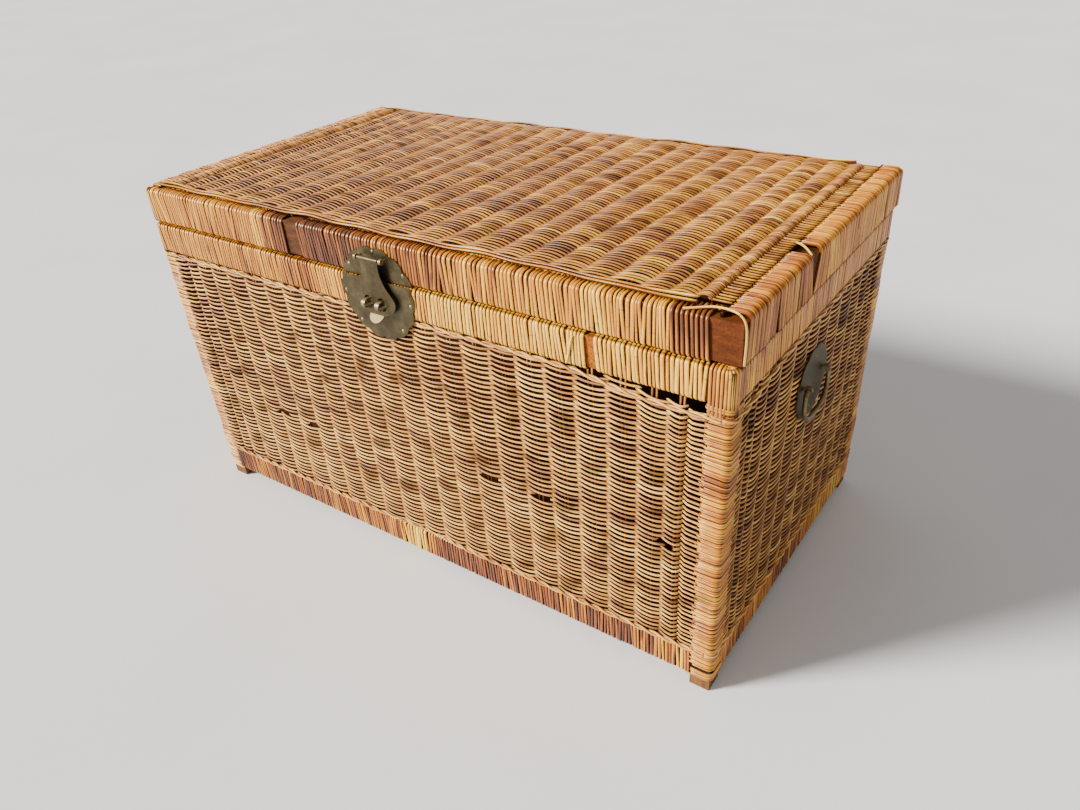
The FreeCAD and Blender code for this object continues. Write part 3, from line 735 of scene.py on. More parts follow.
def corner_weave(name, sx, sy, seed, base_tone, gap):
    piece = Piece(f"corner_weave_{name}", seed)
    rng = piece.rng
    count = int((RIM_BOTTOM - BASE_BOTTOM) / CORNER_PITCH)
    z = BASE_BOTTOM + 1.2 + CORNER_PITCH * np.arange(count)[:, None]
    keep = (z[:, 0] < gap[0]) | (z[:, 0] > gap[1])
    plan = corner_plan(CORNER_RADIUS, 1.25, CORNER_REACH)
    steps = len(plan)
    travel = np.linspace(-1, 1, steps)[None, :]
    height = Waves(rng, 70.0)
    group = np.arange(count)[:, None] % 3
    z = z + 0.48 * (1 - group) + height(travel * 25, z) + 0.22 * rng.standard_normal((count, 1))
    rough = 0.42 * height(travel * 18 + 400, z * 1.4)[..., None]
    inset = plan[None, :, :2] + rough * plan[None, :, 2:]
    jag = 1.6 * rng.standard_normal((count, 2))
    inset[:, :4, 0] += jag[:, :1]
    inset[:, -4:, 1] += jag[:, 1:]
    centre = xyz(sx * (half_length(z) - inset[..., 0]), sy * (half_depth(z) - inset[..., 1]), z)
    out = xyz(sx * plan[:, 2], sy * plan[:, 3], 0.0)[None]
    radius = 1.06 * (1 + 0.08 * rng.standard_normal((count, 1)))
    run = np.cumsum(rng.random(count) < 0.12)
    tone = base_tone + 0.11 * rng.standard_normal(run.max() + 1)[run][:, None]
    tone = tone + 0.12 * rng.standard_normal((count, 1))
    stain = np.clip(0.35 * (height(travel * 30, z * 2.2) - 1.2), 0, 0.5)
    size = radius[keep]
    piece.sweep(centre[keep], UP, out, size, 1.1 * size, tone[keep], stain[keep], facets=8)
    piece.make(GOLDEN_WRAP, "trunk", "woven_wicker", (f"corner_wrap_{name}",))


for number, (corner, (sx, sy)) in enumerate(CORNERS.items()):
    gap = (30.0, 35.0) if corner == "front_right" else (0.0, 0.0)
    corner_weave(corner, sx, sy, 40 + number, 0.55 if sy < 0 else 0.52, gap)

# ---- Cane wound round the rails ------------------------------------------------------


def rounded_loop(depth, bottom, top, radii):
    """A rounded rectangle as (inward, height, normal inward, normal up), from the inside.

    radii are for the outer top, outer bottom, inner bottom and inner top corners.
    """
    outer_top, outer_bottom, inner_bottom, inner_top = radii
    corners = (
        (outer_top, top - outer_top, outer_top, 90),
        (outer_bottom, bottom + outer_bottom, outer_bottom, 180),
        (depth - inner_bottom, bottom + inner_bottom, inner_bottom, 270),
        (depth - inner_top, top - inner_top, inner_top, 0),
    )
    loop = []
    for number, (a, b, radius, start) in enumerate(corners):
        loop += arc(a, b, radius, start, 5)
        if number in (0, 2):
            a0, b0, n0, n1 = loop[-1]
            b1 = corners[number + 1][1]
            for f in (0.33, 0.67):
                loop.append((a0, b0 + (b1 - b0) * f, n0, n1))
    a0, b0 = loop[-1][:2]
    a1, b1 = loop[0][:2]
    mid = (0.5 * (a0 + a1), 0.5 * (b0 + b1), 0, 1)
    return np.array([mid] + loop + [mid])


def seam_shade_and_grime(z, low, high=1e3, more=0.0):
    """Painted shade, with some grime, along a strand where it goes into the seam below or above it."""
    below = 0.93 * smooth((3.5 + more - (z - low)) / 2.2)
    above = 0.87 * smooth((3.2 + more - (high - z)) / 1.6)
    return np.maximum(below, above)


def wind(
    piece, stations, loop, width, thickness, tone, slant=0.0, pitch=0.0, ripple=0.38, stain=0.0
):
    """Winds strands round a rail.

    stations is (strands, 4): x and y of the outer face, and its outward normal. The darkening
    is one value for each point of the loop, for painted shade and some grime in the seams.
    """
    rng = piece.rng
    count, steps = len(stations), len(loop)
    place = stations[:, None, :2]
    normal = stations[:, None, 2:]
    tangent = np.stack([-normal[..., 1], normal[..., 0]], -1)
    travel = np.linspace(-0.5, 0.5, steps)[None, :]
    mid_height = 0.5 * (loop[:, 1].max() + loop[:, 1].min())
    outer = np.clip(1 - 2 * loop[:, 0] / loop[:, 0].max(), 0, 1)
    lean = np.broadcast_to(slant, count)[:, None] * (loop[:, 1] - mid_height) * outer
    sway = np.sin(rng.uniform(0, 6.3, (count, 1)) + travel * rng.uniform(5, 12, (count, 1)))
    shift = travel * pitch + lean + ripple * sway
    lift = 0.2 * rng.standard_normal((count, 1))
    inward = loop[None, :, 0] + lift * loop[None, :, 2]
    z = loop[None, :, 1] + lift * loop[None, :, 3]
    xy = place - normal * inward[..., None] + tangent * shift[..., None]
    centre = np.concatenate([xy, z[..., None]], -1)
    rise = np.broadcast_to(loop[None, :, 3, None], (count, steps, 1))
    out = np.concatenate([-normal * loop[None, :, 2, None], rise], -1)
    side = np.concatenate([np.broadcast_to(tangent, xy.shape), np.zeros(rise.shape)], -1)
    grid = np.ones((count, steps))
    piece.sweep(
        centre, side, out, grid * np.reshape(width, (-1, 1)), thickness,
        tone if np.ndim(tone) == 2 else grid * np.reshape(tone, (-1, 1)), grid * stain, facets=8,
    )


def parted(places, splits):
    """Extra slant that opens a V between the strands on either side of each split."""
    slant = np.zeros(len(places))
    for at, amount in splits:
        slant += amount * np.sign(places - at) * bump(places, at, 30)
    return slant


def spaced(rng, start, end, pitch, jitter):
    """Strand centres from start to end at about one pitch, with their widths."""
    count = max(1, int(round(abs(end - start) / pitch)))
    gaps = pitch * (1 + jitter * rng.standard_normal(count))
    gaps = np.clip(gaps, 0.7 * pitch, 1.3 * pitch)
    gaps *= abs(end - start) / gaps.sum()
    edges = np.concatenate([[0], np.cumsum(gaps)])
    centres = 0.5 * (edges[:-1] + edges[1:])
    return start + np.sign(end - start) * centres, gaps


def runs(rng, count, chance, base, spread, small):
    """Tones that stay alike over a run of strands cut from one cane."""
    group = np.cumsum(rng.random(count) < chance)
    return base + spread * rng.standard_normal(group.max() + 1)[group] + small * rng.standard_normal(count)


def straight_stations(name, places, outer):
    """Stations on a straight rail: outer is the outer face's distance from the middle."""
    wall = Wall(name)
    out = wall.out[:2]
    along = wall.along[:2]
    xy = out[None] * outer + along[None] * places[:, None]
    return np.concatenate([xy, np.broadcast_to(out, (len(places), 2))], 1)


def straight_wrap(
    piece, name, span, pitch, jitter, outer, loop, thickness, tones, fill, lean,
    shade=None, bare=(), splits=(), **winding,
):
    """Cane round one straight stretch of a rail, leaving the bare spans open.

    tones are what runs takes, fill the share of its pitch that a strand fills, and lean the
    size of a strand's own slant, then the size, length and start of the slant that they share.
    """
    rng = piece.rng
    places, gaps = spaced(rng, *span, pitch, jitter)
    tone = runs(rng, len(places), *tones)
    if shade is not None:
        tone = tone + shade(places)
    width = 0.5 * gaps * rng.uniform(*fill, len(places))
    own, shared, length, start = lean
    slant = own * rng.standard_normal(len(places)) + shared * np.sin(places / length + start)
    slant += parted(places, splits)
    keep = np.ones(len(places), bool)
    for low, high in bare:
        keep &= (places <= low) | (places >= high)
    stations = straight_stations(name, places, outer - SKIN)[keep]
    wind(piece, stations, loop, width[keep], thickness, tone[keep], slant[keep], pitch, **winding)


def corner_stations(sx, sy, half_x, half_y, radius, pitch, start=0.0, end=1.0):
    """Stations round a rounded corner, from its X-facing side to its Y-facing side."""
    count = max(2, int(round(0.5 * math.pi * radius * (end - start) / pitch)))
    turn = 0.5 * math.pi * (start + (end - start) * (np.arange(count) + 0.5) / count)
    nx, ny = sx * np.cos(turn), sy * np.sin(turn)
    x = sx * (half_x - radius) + radius * nx
    y = sy * (half_y - radius) + radius * ny
    return np.stack([x, y, nx, ny], -1)


RIM_RADIUS = 12.0
HANGING_FROM = 418.0
STRAND_THICKNESS = 1.2
SKIN = 1.2


def rail_loop(bottom, top, radii, depth=RAIL_DEPTH):
    return rounded_loop(depth - 2 * SKIN, bottom + SKIN, top - SKIN, radii)


def rim_seam_shade_and_grime(loop, more=0.0):
    """Painted shade, with some grime, in the seams above and below the rim, on its outer side only."""
    outside = loop[:, 0] < 4.5
    return outside * seam_shade_and_grime(loop[:, 1], RIM_BOTTOM, RIM_TOP, more)


def front_rim_shade(places):
    return 0.18 * smooth((places - 40) / 60) - 0.13 * bump(places, -140, 60)


def rim_wrap(name, seed, base_tone, **places):
    """Cane round one straight stretch of the rim."""
    piece = Piece(f"rim_cane_{name}", seed)
    long_side = name in ("front", "back")
    across, along = (half_depth, half_length) if long_side else (half_length, half_depth)
    reach = along(RIM_TOP) - RIM_RADIUS
    loop = rail_loop(RIM_BOTTOM, RIM_TOP, (5.5, 4, 3, 3))
    straight_wrap(
        piece, name, (-reach, HANGING_FROM if name == "front" else reach), 4.9, 0.15,
        across(RIM_TOP), loop, STRAND_THICKNESS, (0.09, base_tone, 0.09, 0.05), (0.84, 0.98),
        (0.018, 0.05, 60, 0), stain=rim_seam_shade_and_grime(loop, 0.0 if long_side else 1.8), **places,
    )
    return piece


def rim_corner(piece, sx, sy, tone, low_drop):
    """Short strands round a rounded corner of the rim."""
    stations = corner_stations(
        sx, sy, half_length(RIM_TOP) - SKIN, half_depth(RIM_TOP) - SKIN, RIM_RADIUS - SKIN, 3.4
    )
    loop = rail_loop(RIM_BOTTOM - low_drop, RIM_TOP, (4.5, 3, 1, 1), RIM_RADIUS)
    tones = tone + 0.10 * piece.rng.standard_normal(len(stations))
    wind(piece, stations, loop, 1.75, 1.35, tones, ripple=0.1, stain=rim_seam_shade_and_grime(loop))


def hanging_strands(piece):
    """The last strands of the front rim, which reach below it."""
    places, gaps = spaced(piece.rng, HANGING_FROM, half_length(RIM_TOP) - RIM_RADIUS, 4.1, 0.03)
    stations = straight_stations("front", places, half_depth(RIM_TOP) - SKIN)
    loop = rail_loop(RIM_BOTTOM - 13, RIM_TOP, (5.5, 3, 2, 2), 14.0)
    tones = np.array([0.50, 0.38, 0.55, 0.44])[: len(places)]
    wind(piece, stations, loop, 1.8, 1.4, tones, ripple=0.1)


def loose_strand(piece):
    """A broken strand lying at a slant across the front of the rim."""
    at = np.linspace(0, 1, 12)
    x = 268.5 - 7.5 * at
    z = RIM_TOP - 5 - (RIM_TOP - RIM_BOTTOM - 9) * at
    y = -half_depth(RIM_TOP) - SKIN + 0.5 * np.cos(at * 9)
    path = xyz(x, y, z)[None]
    piece.sweep(path, ALONG_X + 0.2 * UP, -ALONG_Y, 1.9, 1.1, 0.85)


for number, name in enumerate(("front", "right", "back", "left")):
    if name == "front":
        piece = rim_wrap(
            name, 60, 0.53, shade=front_rim_shade, bare=((281.5, 296.5),),
            splits=((262, 0.05), (-300, 0.03)),
        )
        hanging_strands(piece)
        loose_strand(piece)
        rim_corner(piece, 1, -1, 0.55, 13.0)
        rim_corner(piece, -1, -1, 0.50, 2.0)
    else:
        piece = rim_wrap(name, 60 + number, 0.52)
    if name == "back":
        rim_corner(piece, 1, 1, 0.50, 2.0)
        rim_corner(piece, -1, 1, 0.50, 2.0)
    cane = WRAP if name in ("front", "back") else GOLDEN_WRAP
    piece.make(cane, "trunk", "wrapped_cane", (f"rim_wrap_{name}",))


def front_base_shade(places):
    return -0.11 * smooth((-60 - places) / 120) - 0.07 * smooth((places - 60) / 120)


def base_wrap(name, seed):
    """Cane round one bottom rail."""
    piece = Piece(f"base_cane_{name}", seed)
    middle = 0.5 * (BASE_BOTTOM + BASE_TOP)
    long_side = name in ("front", "back")
    across, along = (half_depth, half_length) if long_side else (half_length, half_depth)
    reach = along(middle) - CORNER_REACH
    straight_wrap(
        piece, name, (-reach, reach), 4.5, 0.17, across(middle),
        rail_loop(BASE_BOTTOM, BASE_TOP, (4, 3, 3, 3)), STRAND_THICKNESS, (0.12, 0.41, 0.15, 0.12),
        (0.78, 0.98), (0.03, 0.03, 45, 1), front_base_shade if name == "front" else None, ripple=0.45,
    )
    piece.make(GOLDEN_WRAP, "trunk", "wrapped_cane", (f"base_wrap_{name}",))


for number, name in enumerate(("front", "right", "back", "left")):
    base_wrap(name, 70 + number)

# ---- Lid -----------------------------------------------------------------------------

LID_EDGE_RADIUS = 7.0
DARK_STRANDS = (376.5, 417.0)
RIDGE_GROUP = 9.4
BARE_GAP = (-161.0, -132.0)
lid_loop = rail_loop(LID_BOTTOM, LID_WRAP_TOP, (LID_EDGE_RADIUS, 4, 3, 3))
# Painted shade, with some grime, in the seam along the lid's lower edge, outer side only.
lid_seam_shade_and_grime = (lid_loop[:, 0] < 4.5) * seam_shade_and_grime(lid_loop[:, 1], LID_BOTTOM)


def lid_corner(piece, sx, sy, half_y, tone):
    """Strands over the rounded upright edge of a lid corner."""
    radius = 8.0
    stations = corner_stations(sx, sy, LID_HALF - SKIN, half_y - SKIN, radius - SKIN, 2.9)
    loop = rail_loop(LID_BOTTOM, LID_WRAP_TOP + 0.5, (4, 3, 1, 1), radius)
    tones = tone + 0.12 * piece.rng.standard_normal(len(stations))
    wind(piece, stations, loop, 1.5, 1.25, tones, ripple=0.1, stain=seam_shade_and_grime(loop[:, 1], LID_BOTTOM))


def lid_front_shade(places):
    near_latch = 0.48 * bump(places, -80, 130) + 0.24 * bump(places, 60, 90)
    return 0.14 * smooth((places - 105) / 60) - near_latch


def lid_front_wrap():
    piece = Piece("lid_cane_front", 80)
    rng = piece.rng
    straight_wrap(
        piece, "front", (-LID_HALF + 8, DARK_STRANDS[0]), 4.75, 0.17, -LID_FRONT, lid_loop, 1.3,
        (0.10, 0.50, 0.08, 0.06), (0.86, 0.99), (0.028, 0.055, 55, 0), lid_front_shade,
        (BARE_GAP,), ((-355, 0.08), (97, -0.12), (-146, -0.05)), stain=lid_seam_shade_and_grime,
    )
    places, _ = spaced(rng, *DARK_STRANDS, 5.05, 0.03)
    stations = straight_stations("front", places, -LID_FRONT - SKIN)
    orange = smooth((466 - lid_loop[:, 1]) / 16) * rng.uniform(0.10, 0.30, (len(places), 1))
    tone = 0.13 + 0.05 * rng.standard_normal((len(places), 1)) + orange
    wind(piece, stations, lid_loop, 1.95, 1.75, tone, -0.03, 5.05, stain=lid_seam_shade_and_grime)
    lid_corner(piece, -1, -1, -LID_FRONT, 0.35)
    piece.make(WRAP, "lid", "wrapped_cane", ("lid_wrap_front",))


def lid_back_wrap():
    piece = Piece("lid_cane_back", 81)
    straight_wrap(
        piece, "back", (-LID_HALF + 8, LID_HALF - 8), 4.85, 0.10, LID_BACK, lid_loop, 1.25,
        (0.08, 0.56, 0.10, 0.05), (0.86, 0.99), (0.012, 0.03, 70, 0), stain=lid_seam_shade_and_grime,
    )
    lid_corner(piece, -1, 1, LID_BACK, 0.45)
    lid_corner(piece, 1, 1, LID_BACK, 0.45)
    piece.make(WRAP, "lid", "wrapped_cane", ("lid_wrap_back",))


END_PITCH = 2.9
END_TOP = LID_TOP - 4.3


def end_path(top, start=24.0, radius=8.5):
    """A strand over an end rail: (x inward from the end, z, normal inward, normal up)."""
    skin = 1.25
    bottom = LID_BOTTOM + skin
    inside = RAIL_DEPTH - 3 - skin
    below_top = top - radius
    path = [(start + 3, top - 2.5, 0, 1), (start, top - 0.6, 0, 1), (start - 4, top, 0, 1)]
    path.append((0.5 * (start + radius), top, 0, 1))
    path += arc(radius, below_top + skin, radius - skin, 90, 7)
    path += [(skin, below_top + (bottom + 4 - below_top) * f, -1, 0) for f in (0.25, 0.5, 0.75)]
    path += arc(skin + 4, bottom + 4, 4, 180, 4)
    path += arc(inside - 3, bottom + 3, 3, 270, 4)
    path.append((inside, LID_RAIL_TOP - 2, 1, 0))
    return np.array(path)


def lid_end_wrap(name, sign, seed, gaps=()):
    piece = Piece(f"lid_cane_{name}", seed)
    rng = piece.rng
    low, high = LID_FRONT + 12, LID_BACK - 9
    places, widths = spaced(rng, low, high, END_PITCH, 0.12)
    count = len(places)
    places = places - 0.55 * (np.arange(count) % 3 - 1)
    group = np.cumsum(rng.random(count) < 0.16)
    lean = 0.075 * rng.standard_normal(group.max() + 1)[group]
    keep = np.ones(count, bool)
    for low_y, high_y in gaps:
        lean = lean * smooth((np.abs(places - 0.5 * (low_y + high_y)) - 25) / 25)
        keep &= (places <= low_y) | (places >= high_y)
    path_in, path_z, normal_in, normal_up = end_path(END_TOP).T[:, None]
    down = np.clip((END_TOP - path_z) / (END_TOP - LID_BOTTOM), 0, 1)
    y = places[:, None] + lean[:, None] * 45 * down
    y = y + 0.35 * np.sin(rng.uniform(0, 6.3, (count, 1)) + 4 * down)
    lift = 0.18 * rng.standard_normal((count, 1)) + 0.3 * Waves(rng, 40.0, 4)(places)[:, None]
    sunk = np.where((np.arange(count) % 2 == 0) & (sign < 0), 1.0, 0.0)[:, None]
    lift = lift - 1.1 * sunk
    inward = path_in + lift * normal_in
    z = path_z + lift * normal_up
    for low_y, high_y in gaps:
        middle, half = 0.5 * (low_y + high_y), 0.5 * (high_y - low_y)
        spread = bump(places, middle, 4 * half)[:, None]
        y = y - np.sign(places[:, None] - middle) * spread * half * 1.05 * down
    centre = xyz(sign * (LID_HALF - inward), y, z)
    out = xyz(-sign * normal_in, 0.0, normal_up)
    tone = runs(rng, count, 0.16, 0.50, 0.07, 0.10)[:, None]
    radius = 0.5 * widths[:, None] * rng.uniform(0.86, 0.98, (count, 1))
    # Painted shade on the sunk strands, and painted shade with some grime in the seam at the lid's lower
    # edge.
    stain = np.maximum(0.35 * sunk, (inward < 4.5) * seam_shade_and_grime(z, LID_BOTTOM, more=1.8))
    piece.sweep(
        centre[keep], ALONG_Y, out, radius[keep], 1.5, tone[keep], stain[keep], facets=8
    )
    # A packing strand inside the end rail, coloured near black as painted shade.
    packing = xyz(
        sign * (LID_HALF - RAIL_DEPTH + 4.4),
        np.linspace(low - 4, high + 4, 30),
        0.5 * (LID_RAIL_TOP + LID_TOP - 5),
    )
    piece.sweep(packing[None], ALONG_X, UP, 2.4, 3.4, 0.1, 0.93, facets=8)
    piece.make(GOLDEN_WRAP, "lid", "wrapped_cane", (f"lid_wrap_{name}",))


LID_ROW_PITCH = 3.12
LID_REED = 1.60


def over_rail(y):
    """1 where the lid's rows lie on the front or back rail, 0 between the rails."""
    return smooth((np.abs(y - 1.5) - 196) / 14)


def lid_weave():
    """The woven top: rows along X over stakes that run from front to back."""
    rng = np.random.default_rng(90)
    stakes = stake_places(7, 38.0, (283.0, 318.0, 350.0, 379.0))
    y_low, y_high = lid_top_low[1] + 1.4, lid_top_high[1] - 1.4
    count = int(round((y_high - y_low) / LID_ROW_PITCH))
    pitch = (y_high - y_low) / count
    rows = np.arange(count)[:, None]
    v = y_low + pitch * (rows + 0.5)
    u_mid, phase = row_samples(stakes)
    drift = Waves(rng, 150.0)
    field = Waves(rng, 200.0)
    dirt = Waves(rng, 80.0, 9)
    inner = u_mid[None, :] + 1.6 * drift(u_mid[None, :], v * 0.4)
    sign = np.where((rows % 2) == 0, 1.0, -1.0)
    s = weave_shape(np.cos(math.pi * phase)[None, :] * sign)
    middle = 5.0 - 1.4 * over_rail(v)
    swing = 3.4 - 1.5 * over_rail(v)

    def tail_depth(outside, at_stake, reach, t):
        start = middle - swing * at_stake
        return start + (np.where(outside, 2.7, 7.5) - start) * smooth(reach)

    u, d, s = with_tails(inner, s, middle - swing * s, (425.5, 424.0), 8, 22.0, tail_depth)
    edge = np.sqrt(bump(v, 0.5 * (y_low + y_high), 0.5 * (y_high - y_low) + 1))
    v_at = v + 1.6 * field(u, v) * edge
    v_at, radius = uneven(rng, u, v_at, 0.18, LID_REED, (1.5, 1.78))
    radius = radius * (1 - 0.12 * s * s)
    tone = strand_tones(rng, count, u.shape[1], 0.44, 0.10) + 0.12 * smooth((u - 150) / 200)
    stain = np.clip(0.5 * (dirt(u, v * 1.8) - 1.0), 0, 0.5)
    make_rows(
        [f"lid_weave{half}" for half in HALVES], 190,
        (xyz(u, v_at, LID_TOP - d), radius, tone, stain, s), ALONG_Y, UP, 0.86,
        LID_WEAVE, "lid", ("lid_woven_panel",),
    )

    posts = Piece("lid_stakes", 195)
    y = np.linspace(y_low - 1, y_high + 1, 70)[None, :]
    z = LID_TOP - (5.0 - 1.4 * over_rail(y))
    # The stakes and a flat sheet under the rows are coloured near black as painted shade seen between the
    # rows.
    for spread in (-STAKE_SPREAD, STAKE_SPREAD):
        x = stakes[:, None] + 1.6 * drift(stakes[:, None], y * 0.4) + spread
        tone_stake = 0.4 + 0.1 * rng.standard_normal((len(stakes), 1))
        posts.sweep(xyz(x, y, z), ALONG_X, UP, STAKE_RADIUS, STAKE_RADIUS, tone_stake, 0.85)
    posts.sweep(xyz(0.0, y, z), ALONG_X, UP, 424.0, 0.2, 0.2, 0.9, facets=4)
    posts.make(LID_WEAVE, "lid", "woven_wicker")


def twist(piece, path, out, strand_radius, turn_radius, pitch, tones, points_per_turn):
    """Strands twisted round a level path, given its outward direction."""
    length = travelled(path)
    at = np.linspace(0, length[-1], int(length[-1] / pitch * points_per_turn))
    line, out = resampled(path, length, at), resampled(out, length, at)
    for number, tone in enumerate(tones):
        angle = 2 * math.pi * at / pitch + math.pi * number
        radial = np.cos(angle)[:, None] * UP + np.sin(angle)[:, None] * out
        centre = line + turn_radius * radial
        piece.sweep(centre[None], UP, out[None], strand_radius, strand_radius, tone)


def lid_ridges():
    """Short strands in threes over a stake coloured near black as painted shade, along the rows' ends at
    each end of the lid.
    """
    piece = Piece("lid_ridges", 91)
    rng = piece.rng
    low, high = lid_top_low[1] + 2, lid_top_high[1] - 2
    count = int((high - low) / RIDGE_GROUP)
    group = low + RIDGE_GROUP * (np.arange(count) + 0.5)
    profile = np.array(
        ((388, -6.0), (390, -4.2), (393, -2.2), (396.5, -0.5), (400, 0.5), (403, 0.4), (405.4, -0.9),
         (406.8, -3.0), (407.6, -5.4), (408.0, -7.2))
    )
    wave = Waves(rng, 160.0, 4)
    step = np.gradient(profile, axis=0)
    step /= np.linalg.norm(step, axis=1)[:, None]
    slant = 1.6 * (profile[:, 0] - 398) / 10
    # Painted shade on the strands' lower flanks, where they dip into the weave.
    flank_shade = 0.75 * smooth((-2.0 - profile[:, 1]) / 3.5)
    for sign in (-1, 1):
        tone = 0.50 + 0.08 * rng.standard_normal(count)
        for k in (-1, 0, 1):
            y = group + 2.4 * k + 0.2 * rng.standard_normal(count)
            y = y[:, None] - slant
            lift = 0.25 * rng.standard_normal((count, 1))
            x = sign * (profile[:, 0] + 0.8 * wave(y))
            out = xyz(-sign * step[:, 1], 0.0, step[:, 0])[None]
            shade = tone + 0.06 * rng.standard_normal(count)
            piece.sweep(
                xyz(x, y, LID_TOP + profile[:, 1] + lift), ALONG_Y, out, 1.27, 1.25,
                shade[:, None], flank_shade[None], facets=8,
            )
        # The stake under the strands, coloured near black as painted shade.
        y = np.linspace(low, high, 60)
        stake = xyz(sign * (399.0 + 0.8 * wave(y)), y, LID_TOP - 4.2)
        piece.sweep(stake[None], ALONG_X, UP, 6.2, 3.2, 0.1, 0.95, facets=8)
    piece.make(LID_WEAVE, "lid", "woven_wicker")


def lid_lashing():
    """Long strands along the inner edges of the wrapped rails, and the pale corner strand."""
    piece = Piece("lid_lashing", 92)
    wave = Waves(piece.rng, 130.0, 5)
    x = np.linspace(-431, 394, 110)
    loose = smooth((x - 330) / 50) + smooth((-365 - x) / 30)
    for y_at, drop in ((-222.4, 0.0), (-224.9, 2.2), (226.0, 0.0), (228.5, 2.2)):
        z = LID_TOP - 1.9 - drop + 0.4 * wave(x, 90)
        tone = 0.42 + 0.1 * wave(x, y_at)
        if drop == 0:
            z, tone = z + 1.2 * loose, tone + 0.38 * loose
        path = xyz(x, y_at + 0.8 * wave(x, 60), z)
        piece.sweep(path[None], ALONG_Y, UP, 1.55, 1.35, tone, facets=8)
    knots = np.array(
        (
            (388, -238.5, 488.6), (396, -236, 489.6), (406, -231.5, 491), (418, -229, 492.6),
            (434, -231.5, 493.2), (444, -235.5, 491.6), (449.6, -238.4, 485), (450.6, -239, 472),
            (450.4, -239.2, 458), (449.8, -239, 445),
        ),
        float,
    )
    at = np.linspace(0, len(knots) - 1, 60)
    path = resampled(knots, np.arange(len(knots)), at)
    kernel = np.ones(7) / 7
    for i in range(3):
        path[3:-3, i] = np.convolve(path[:, i], kernel, "valid")
    over_corner = smooth((path[:, 0] - 436) / 12)
    out = xyz(over_corner, 0.0, 1 - over_corner)
    piece.sweep(path[None], ALONG_Y, out[None], 1.3, 1.2, 0.92)
    piece.make(WRAP, "lid", "wrapped_cane")


def border(name, seed, height, sag, turn_pitch):
    """A twisted pair of strands round all four walls at one height."""
    piece = Piece(name, seed)
    radius = 10.0
    half_x, half_y = half_length(height) - 0.6, half_depth(height) - 0.6
    plan = []
    for sx, sy, start in ((1, -1, -90), (1, 1, 0), (-1, 1, 90), (-1, -1, 180)):
        plan += arc(sx * (half_x - radius), sy * (half_y - radius), radius, start, 9)
    plan = np.array(plan + plan[:1])
    length = travelled(plan[:, :2])
    x, y, nx, ny = resampled(plan, length, np.arange(0, length[-1], 2.2)).T
    on_front = y < -half_y + radius
    on_right = (x > half_x - radius) & ~on_front
    near = np.where(on_front, smooth((x - 240) / 125), 0)
    near = np.where(on_right, smooth((-95 - y) / 125), near)
    behind_latch = np.where(y < 0, 4.6 * bump(x, -5, 95), 0)
    out = xyz(nx, ny, 0.0) / np.hypot(nx, ny)[:, None]
    path = xyz(x, y, height - sag * near) - out * behind_latch[:, None]
    twist(piece, path, out, 1.45, 1.5, turn_pitch, (0.62, 0.5), 18)
    piece.make(WEAVE, "trunk", "woven_wicker")


def broken_strand():
    """The pale broken strand across the gap in the right-hand end wrapping."""
    piece = Piece("lid_broken_strand", 94)
    at = np.linspace(0, 1, 14)
    x = 414 + 32 * at
    y = -55 - 14 * at + 3 * np.sin(at * 4)
    z = END_TOP + 0.6 + 1.6 * np.sin(at * math.pi) - 3 * at**4
    piece.sweep(xyz(x, y, z)[None], 0.3 * ALONG_X + ALONG_Y, UP, 1.4, 1.1, 0.92)
    piece.make(WRAP, "lid", "wrapped_cane")


lid_front_wrap()
lid_back_wrap()
lid_end_wrap("right", 1, 82, ((-78.0, -50.0), (66.0, 70.5)))
lid_end_wrap("left", -1, 83)
lid_weave()
lid_ridges()
lid_lashing()
broken_strand()
border("upper_border", 93, RIM_BOTTOM - 2.4, 12.0, 46.0)
border("lower_border", 95, BASE_TOP + 1.6, 0.0, 40.0)

# ---- Carried-over CAD nodes ----------------------------------------------------------


def dress(shape, material):
    """Gives a CAD node's object a procedural material."""
    if len(shape.material_slots) == 0:
        shape.data.materials.append(None)
    for slot in shape.material_slots:
        slot.link = "OBJECT"
        slot.material = material


# The first word found in a node's name decides its material.
FINISHES = (
    (("lid_rail_front",), LID_RAIL_WOOD),
    (("rim_rail_front",), RIM_RAIL_WOOD),
    (("rail",), RAIL_WOOD),
    (("corner_post", "bottom_battens"), POST_WOOD),
    (("bottom_board",), BOARD_WOOD),
    (("nails", "pin", "latch_staples"), STRONG_PAINTED_HIGHLIGHT_BRASS),
    (("bail", "handle_eyelets"), PAINTED_HIGHLIGHT_BRASS),
    (("latch", "handle", "hinge", "hasp"), BRASS),
)

for node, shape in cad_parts.items():
    found = [material for words, material in FINISHES if any(word in node for word in words)]
    if found:
        dress(shape, found[0])


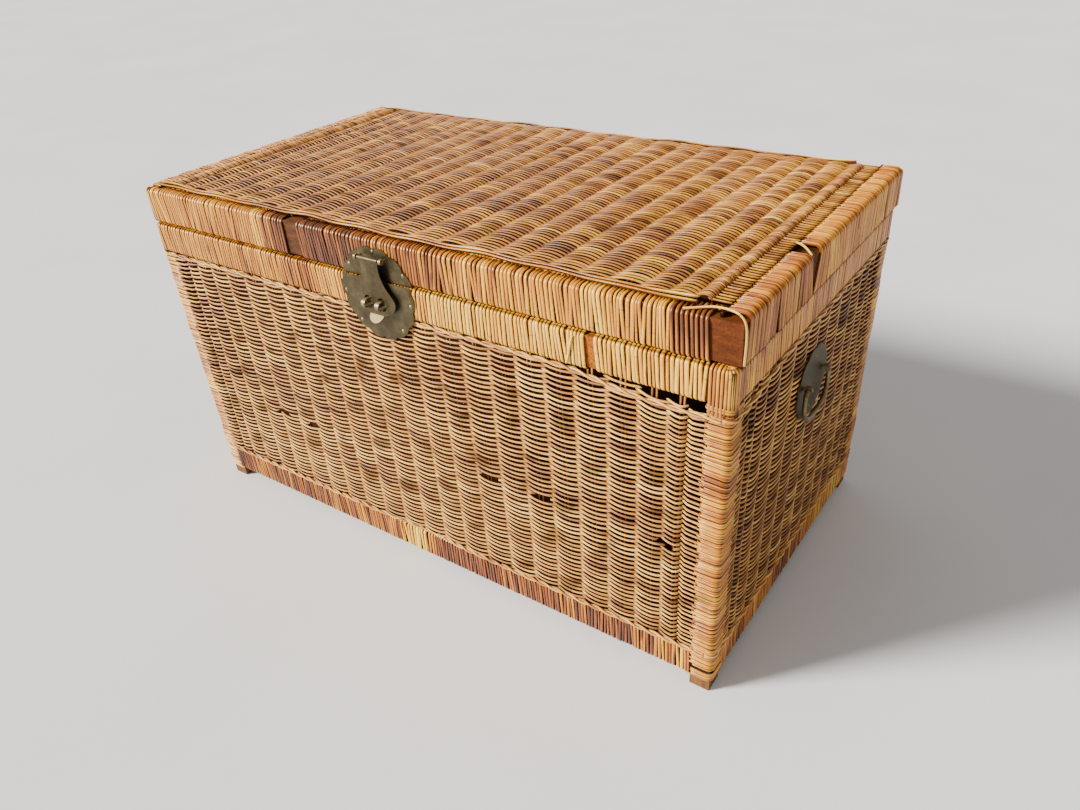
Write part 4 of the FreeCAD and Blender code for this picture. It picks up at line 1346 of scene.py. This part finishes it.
def worn_edges(node, width):
    """Rounds the sharp edges of a carried-over timber."""
    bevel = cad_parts[node].modifiers.new("worn edges", "BEVEL")
    bevel.width = width * MM
    bevel.segments = 3
    bevel.limit_method = "ANGLE"
    bevel.angle_limit = math.radians(40)


worn_edges("lid_rail_front", 2.0)

# ---- Floor, light and camera ---------------------------------------------------------


def plane(name, size, material):
    mesh = bpy.data.meshes.new(name)
    corners = [(-size, -size, 0), (size, -size, 0), (size, size, 0), (-size, size, 0)]
    mesh.from_pydata(corners, [], [(0, 1, 2, 3)])
    mesh.materials.append(material)
    made = bpy.data.objects.new(name, mesh)
    bpy.context.scene.collection.objects.link(made)


def floor_material():
    s = Shader("pale_floor")
    place = s.node("TexCoord").outputs["Object"]
    cloud = s.noise(place, 2.0, 3.0)
    colour = s.ramp(cloud, ((0.3, (0.66, 0.70, 0.79)), (0.7, (0.71, 0.75, 0.85))))
    return s.surface({"Base Color": colour, "Roughness": 0.7})


plane("floor", 30.0, floor_material())

sun_data = bpy.data.lights.new("window", "SUN")
sun_data.energy = 10.3
sun_data.angle = math.radians(14)
sun_data.color = (1.0, 0.91, 0.74)
sun = bpy.data.objects.new("window", sun_data)
sun.rotation_mode = "QUATERNION"
sun.rotation_quaternion = Vector((0.62, 0.60, -0.53)).to_track_quat("-Z", "Y")
bpy.context.scene.collection.objects.link(sun)

world = bpy.data.worlds.new("studio")
bpy.context.scene.world = world
world.use_nodes = True
background = world.node_tree.nodes["Background"]
background.inputs["Color"].default_value = (1.0, 0.91, 0.79, 1)
background.inputs["Strength"].default_value = 0.55

# The photograph's view: the camera's place in metres, its turns about X, Y and Z in degrees.
CAMERA_PLACE = (0.7044, -0.8815, 0.8370)
CAMERA_TURNS = (57.88, 3.57, 34.91)
camera_data = bpy.data.cameras.new("camera")
camera_data.sensor_width = 36.0
camera_data.lens = 28.72
camera_data.clip_end = 100.0
camera = bpy.data.objects.new("camera", camera_data)
turned = Euler([math.radians(turn) for turn in CAMERA_TURNS]).to_matrix()
camera.matrix_world = Matrix.Translation(CAMERA_PLACE) @ turned.to_4x4()
bpy.context.scene.collection.objects.link(camera)
bpy.context.scene.camera = camera
